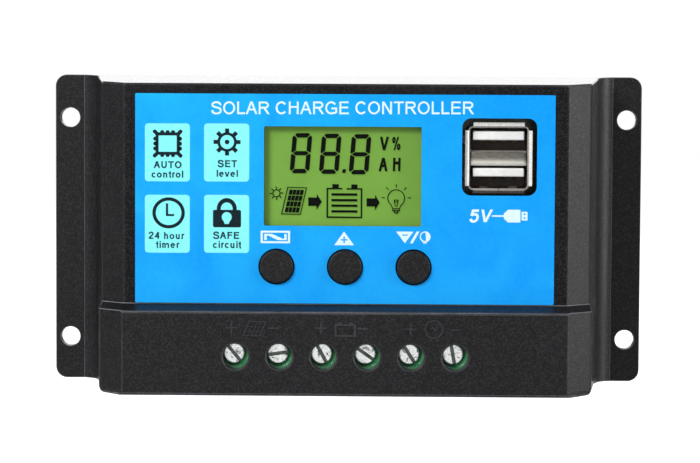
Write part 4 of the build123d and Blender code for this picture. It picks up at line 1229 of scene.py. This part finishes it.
def floor_paper():
    """Paper lifted towards white for the camera, and clear from beneath."""
    mat = Mat("floor_paper", rough=0.9, spec=0.1)
    cloud = mat.fit(mat.noise(scale=0.02, detail=2))
    mat.colour(mat.mix(cloud, (0.52, 0.52, 0.52), (0.55, 0.55, 0.55)))
    ray = mat.node("ShaderNodeLightPath")
    mat.set("Emission Color", (1, 1, 1, 1))
    mat.set("Emission Strength", mat.times(ray.outputs["Is Camera Ray"], 0.93))
    geometry = mat.node("ShaderNodeNewGeometry")
    clear = mat.node("ShaderNodeBsdfTransparent")
    pick = mat.node("ShaderNodeMixShader", {
        0: geometry.outputs["Backfacing"], 1: mat.bsdf.outputs[0], 2: clear.outputs[0]})
    mat.plug(mat.output.inputs[0], pick.outputs[0])
    return mat.material


def stage_floor():
    """A pale floor that sweeps up into a wall far away on every side."""
    profile = [(0.4, 0.0), (1.0, 0.0), (2.0, 0.0), (FLOOR_RADIUS, 0.0)]      # radius, height
    for i in range(1, 11):
        a = math.radians(90 * i / 10)
        profile.append((FLOOR_RADIUS + SWEEP_RADIUS * math.sin(a),
                        SWEEP_RADIUS * (1 - math.cos(a))))
    profile.append((FLOOR_RADIUS + SWEEP_RADIUS, WALL_HEIGHT))

    bm = bmesh.new()
    angles = [2 * math.pi * i / FLOOR_SIDES for i in range(FLOOR_SIDES)]
    rings = [[bm.verts.new((0, 0, FLOOR_Z))] * FLOOR_SIDES]
    for radius, height in profile:
        rings.append([bm.verts.new((radius * math.cos(a), radius * math.sin(a), FLOOR_Z + height))
                      for a in angles])
    for inner, outer in zip(rings, rings[1:]):
        for i in range(FLOOR_SIDES):
            j = (i + 1) % FLOOR_SIDES
            # the innermost faces are triangles that share the centre
            start = 1 if inner is rings[0] else 0
            bm.faces.new((inner[i], inner[j], outer[j], outer[i])[start:])
    bmesh.ops.recalc_face_normals(bm, faces=bm.faces)
    bm.faces.ensure_lookup_table()
    bm.normal_update()
    if bm.faces[0].normal.z < 0:            # the side that is looked at faces up
        bmesh.ops.reverse_faces(bm, faces=bm.faces[:])
    mesh = bpy.data.meshes.new("floor")
    bm.to_mesh(mesh)
    bm.free()
    for polygon in mesh.polygons:
        polygon.use_smooth = True
    floor = bpy.data.objects.new("floor", mesh)
    scene.collection.objects.link(floor)
    mesh.materials.append(floor_paper())


def studio_world():
    """A white surround that is dim for the object and full white for the camera."""
    world = bpy.data.worlds.new("studio")
    scene.world = world
    world.use_nodes = True
    tree = world.node_tree
    background = tree.nodes["Background"]
    background.inputs["Color"].default_value = (1, 1, 1, 1)
    ray = tree.nodes.new("ShaderNodeLightPath")
    level = tree.nodes.new("ShaderNodeMapRange")
    level.inputs["To Min"].default_value = 0.17      # what lights the object
    level.inputs["To Max"].default_value = 1.0       # what the camera sees past the floor
    tree.links.new(ray.outputs["Is Camera Ray"], level.inputs["Value"])
    tree.links.new(level.outputs[0], background.inputs["Strength"])


def softbox(name, place, target, width, height, watts):
    light = bpy.data.lights.new(name, "AREA")
    light.shape = "RECTANGLE"
    light.size, light.size_y = width, height
    light.energy = watts
    lamp_object = bpy.data.objects.new(name, light)
    scene.collection.objects.link(lamp_object)
    lamp_object.location = place
    lamp_object.rotation_mode = "QUATERNION"
    aim = Vector(target) - Vector(place)
    lamp_object.rotation_quaternion = aim.to_track_quat("-Z", "Y")
    lamp_object.visible_camera = False


def camera():
    """A long lens in front of the face, slightly above it."""
    data = bpy.data.cameras.new("camera")
    data.sensor_width = 36.0
    data.lens = 125.78
    data.clip_start, data.clip_end = 0.01, 50
    view = bpy.data.objects.new("camera", data)
    scene.collection.objects.link(view)
    right = (0.999872, 0.015046, 0.005331)
    up = (-0.006175, 0.056641, 0.998376)
    backward = (0.014719, -0.998281, 0.056727)
    place = Vector((0.008784, -0.561154, 0.031066))
    turn = Matrix((right, up, backward)).transposed().to_4x4()
    view.matrix_world = Matrix.Translation(place) @ turn
    scene.camera = view


stage_floor()
studio_world()

# name, place, target, width, height, watts
SOFTBOXES = [
    ("key_upper_left", (-0.80, -0.80, 0.72), (0, -0.02, 0), 0.45, 0.45, 16.4),
    ("front", (-0.22, -1.50, 0.16), (0, -0.02, 0), 0.86, 0.60, 2.1),
    ("side_right", (0.90, -0.22, 0.05), (0, -0.02, 0), 0.25, 0.7, 8.5),
    ("above_behind", (0, 1.00, 0.30), (0, -0.02, 0.03), 1.5, 0.36, 2.5),
    ("behind", (0.1, 1.3, 0.9), (0, 0, 0), 0.7, 0.5, 2.5),
]
for box in SOFTBOXES:
    softbox(*box)
camera()
scene.view_settings.view_transform = "Standard"
scene.view_settings.look = "None"
scene.cycles.use_denoising = True
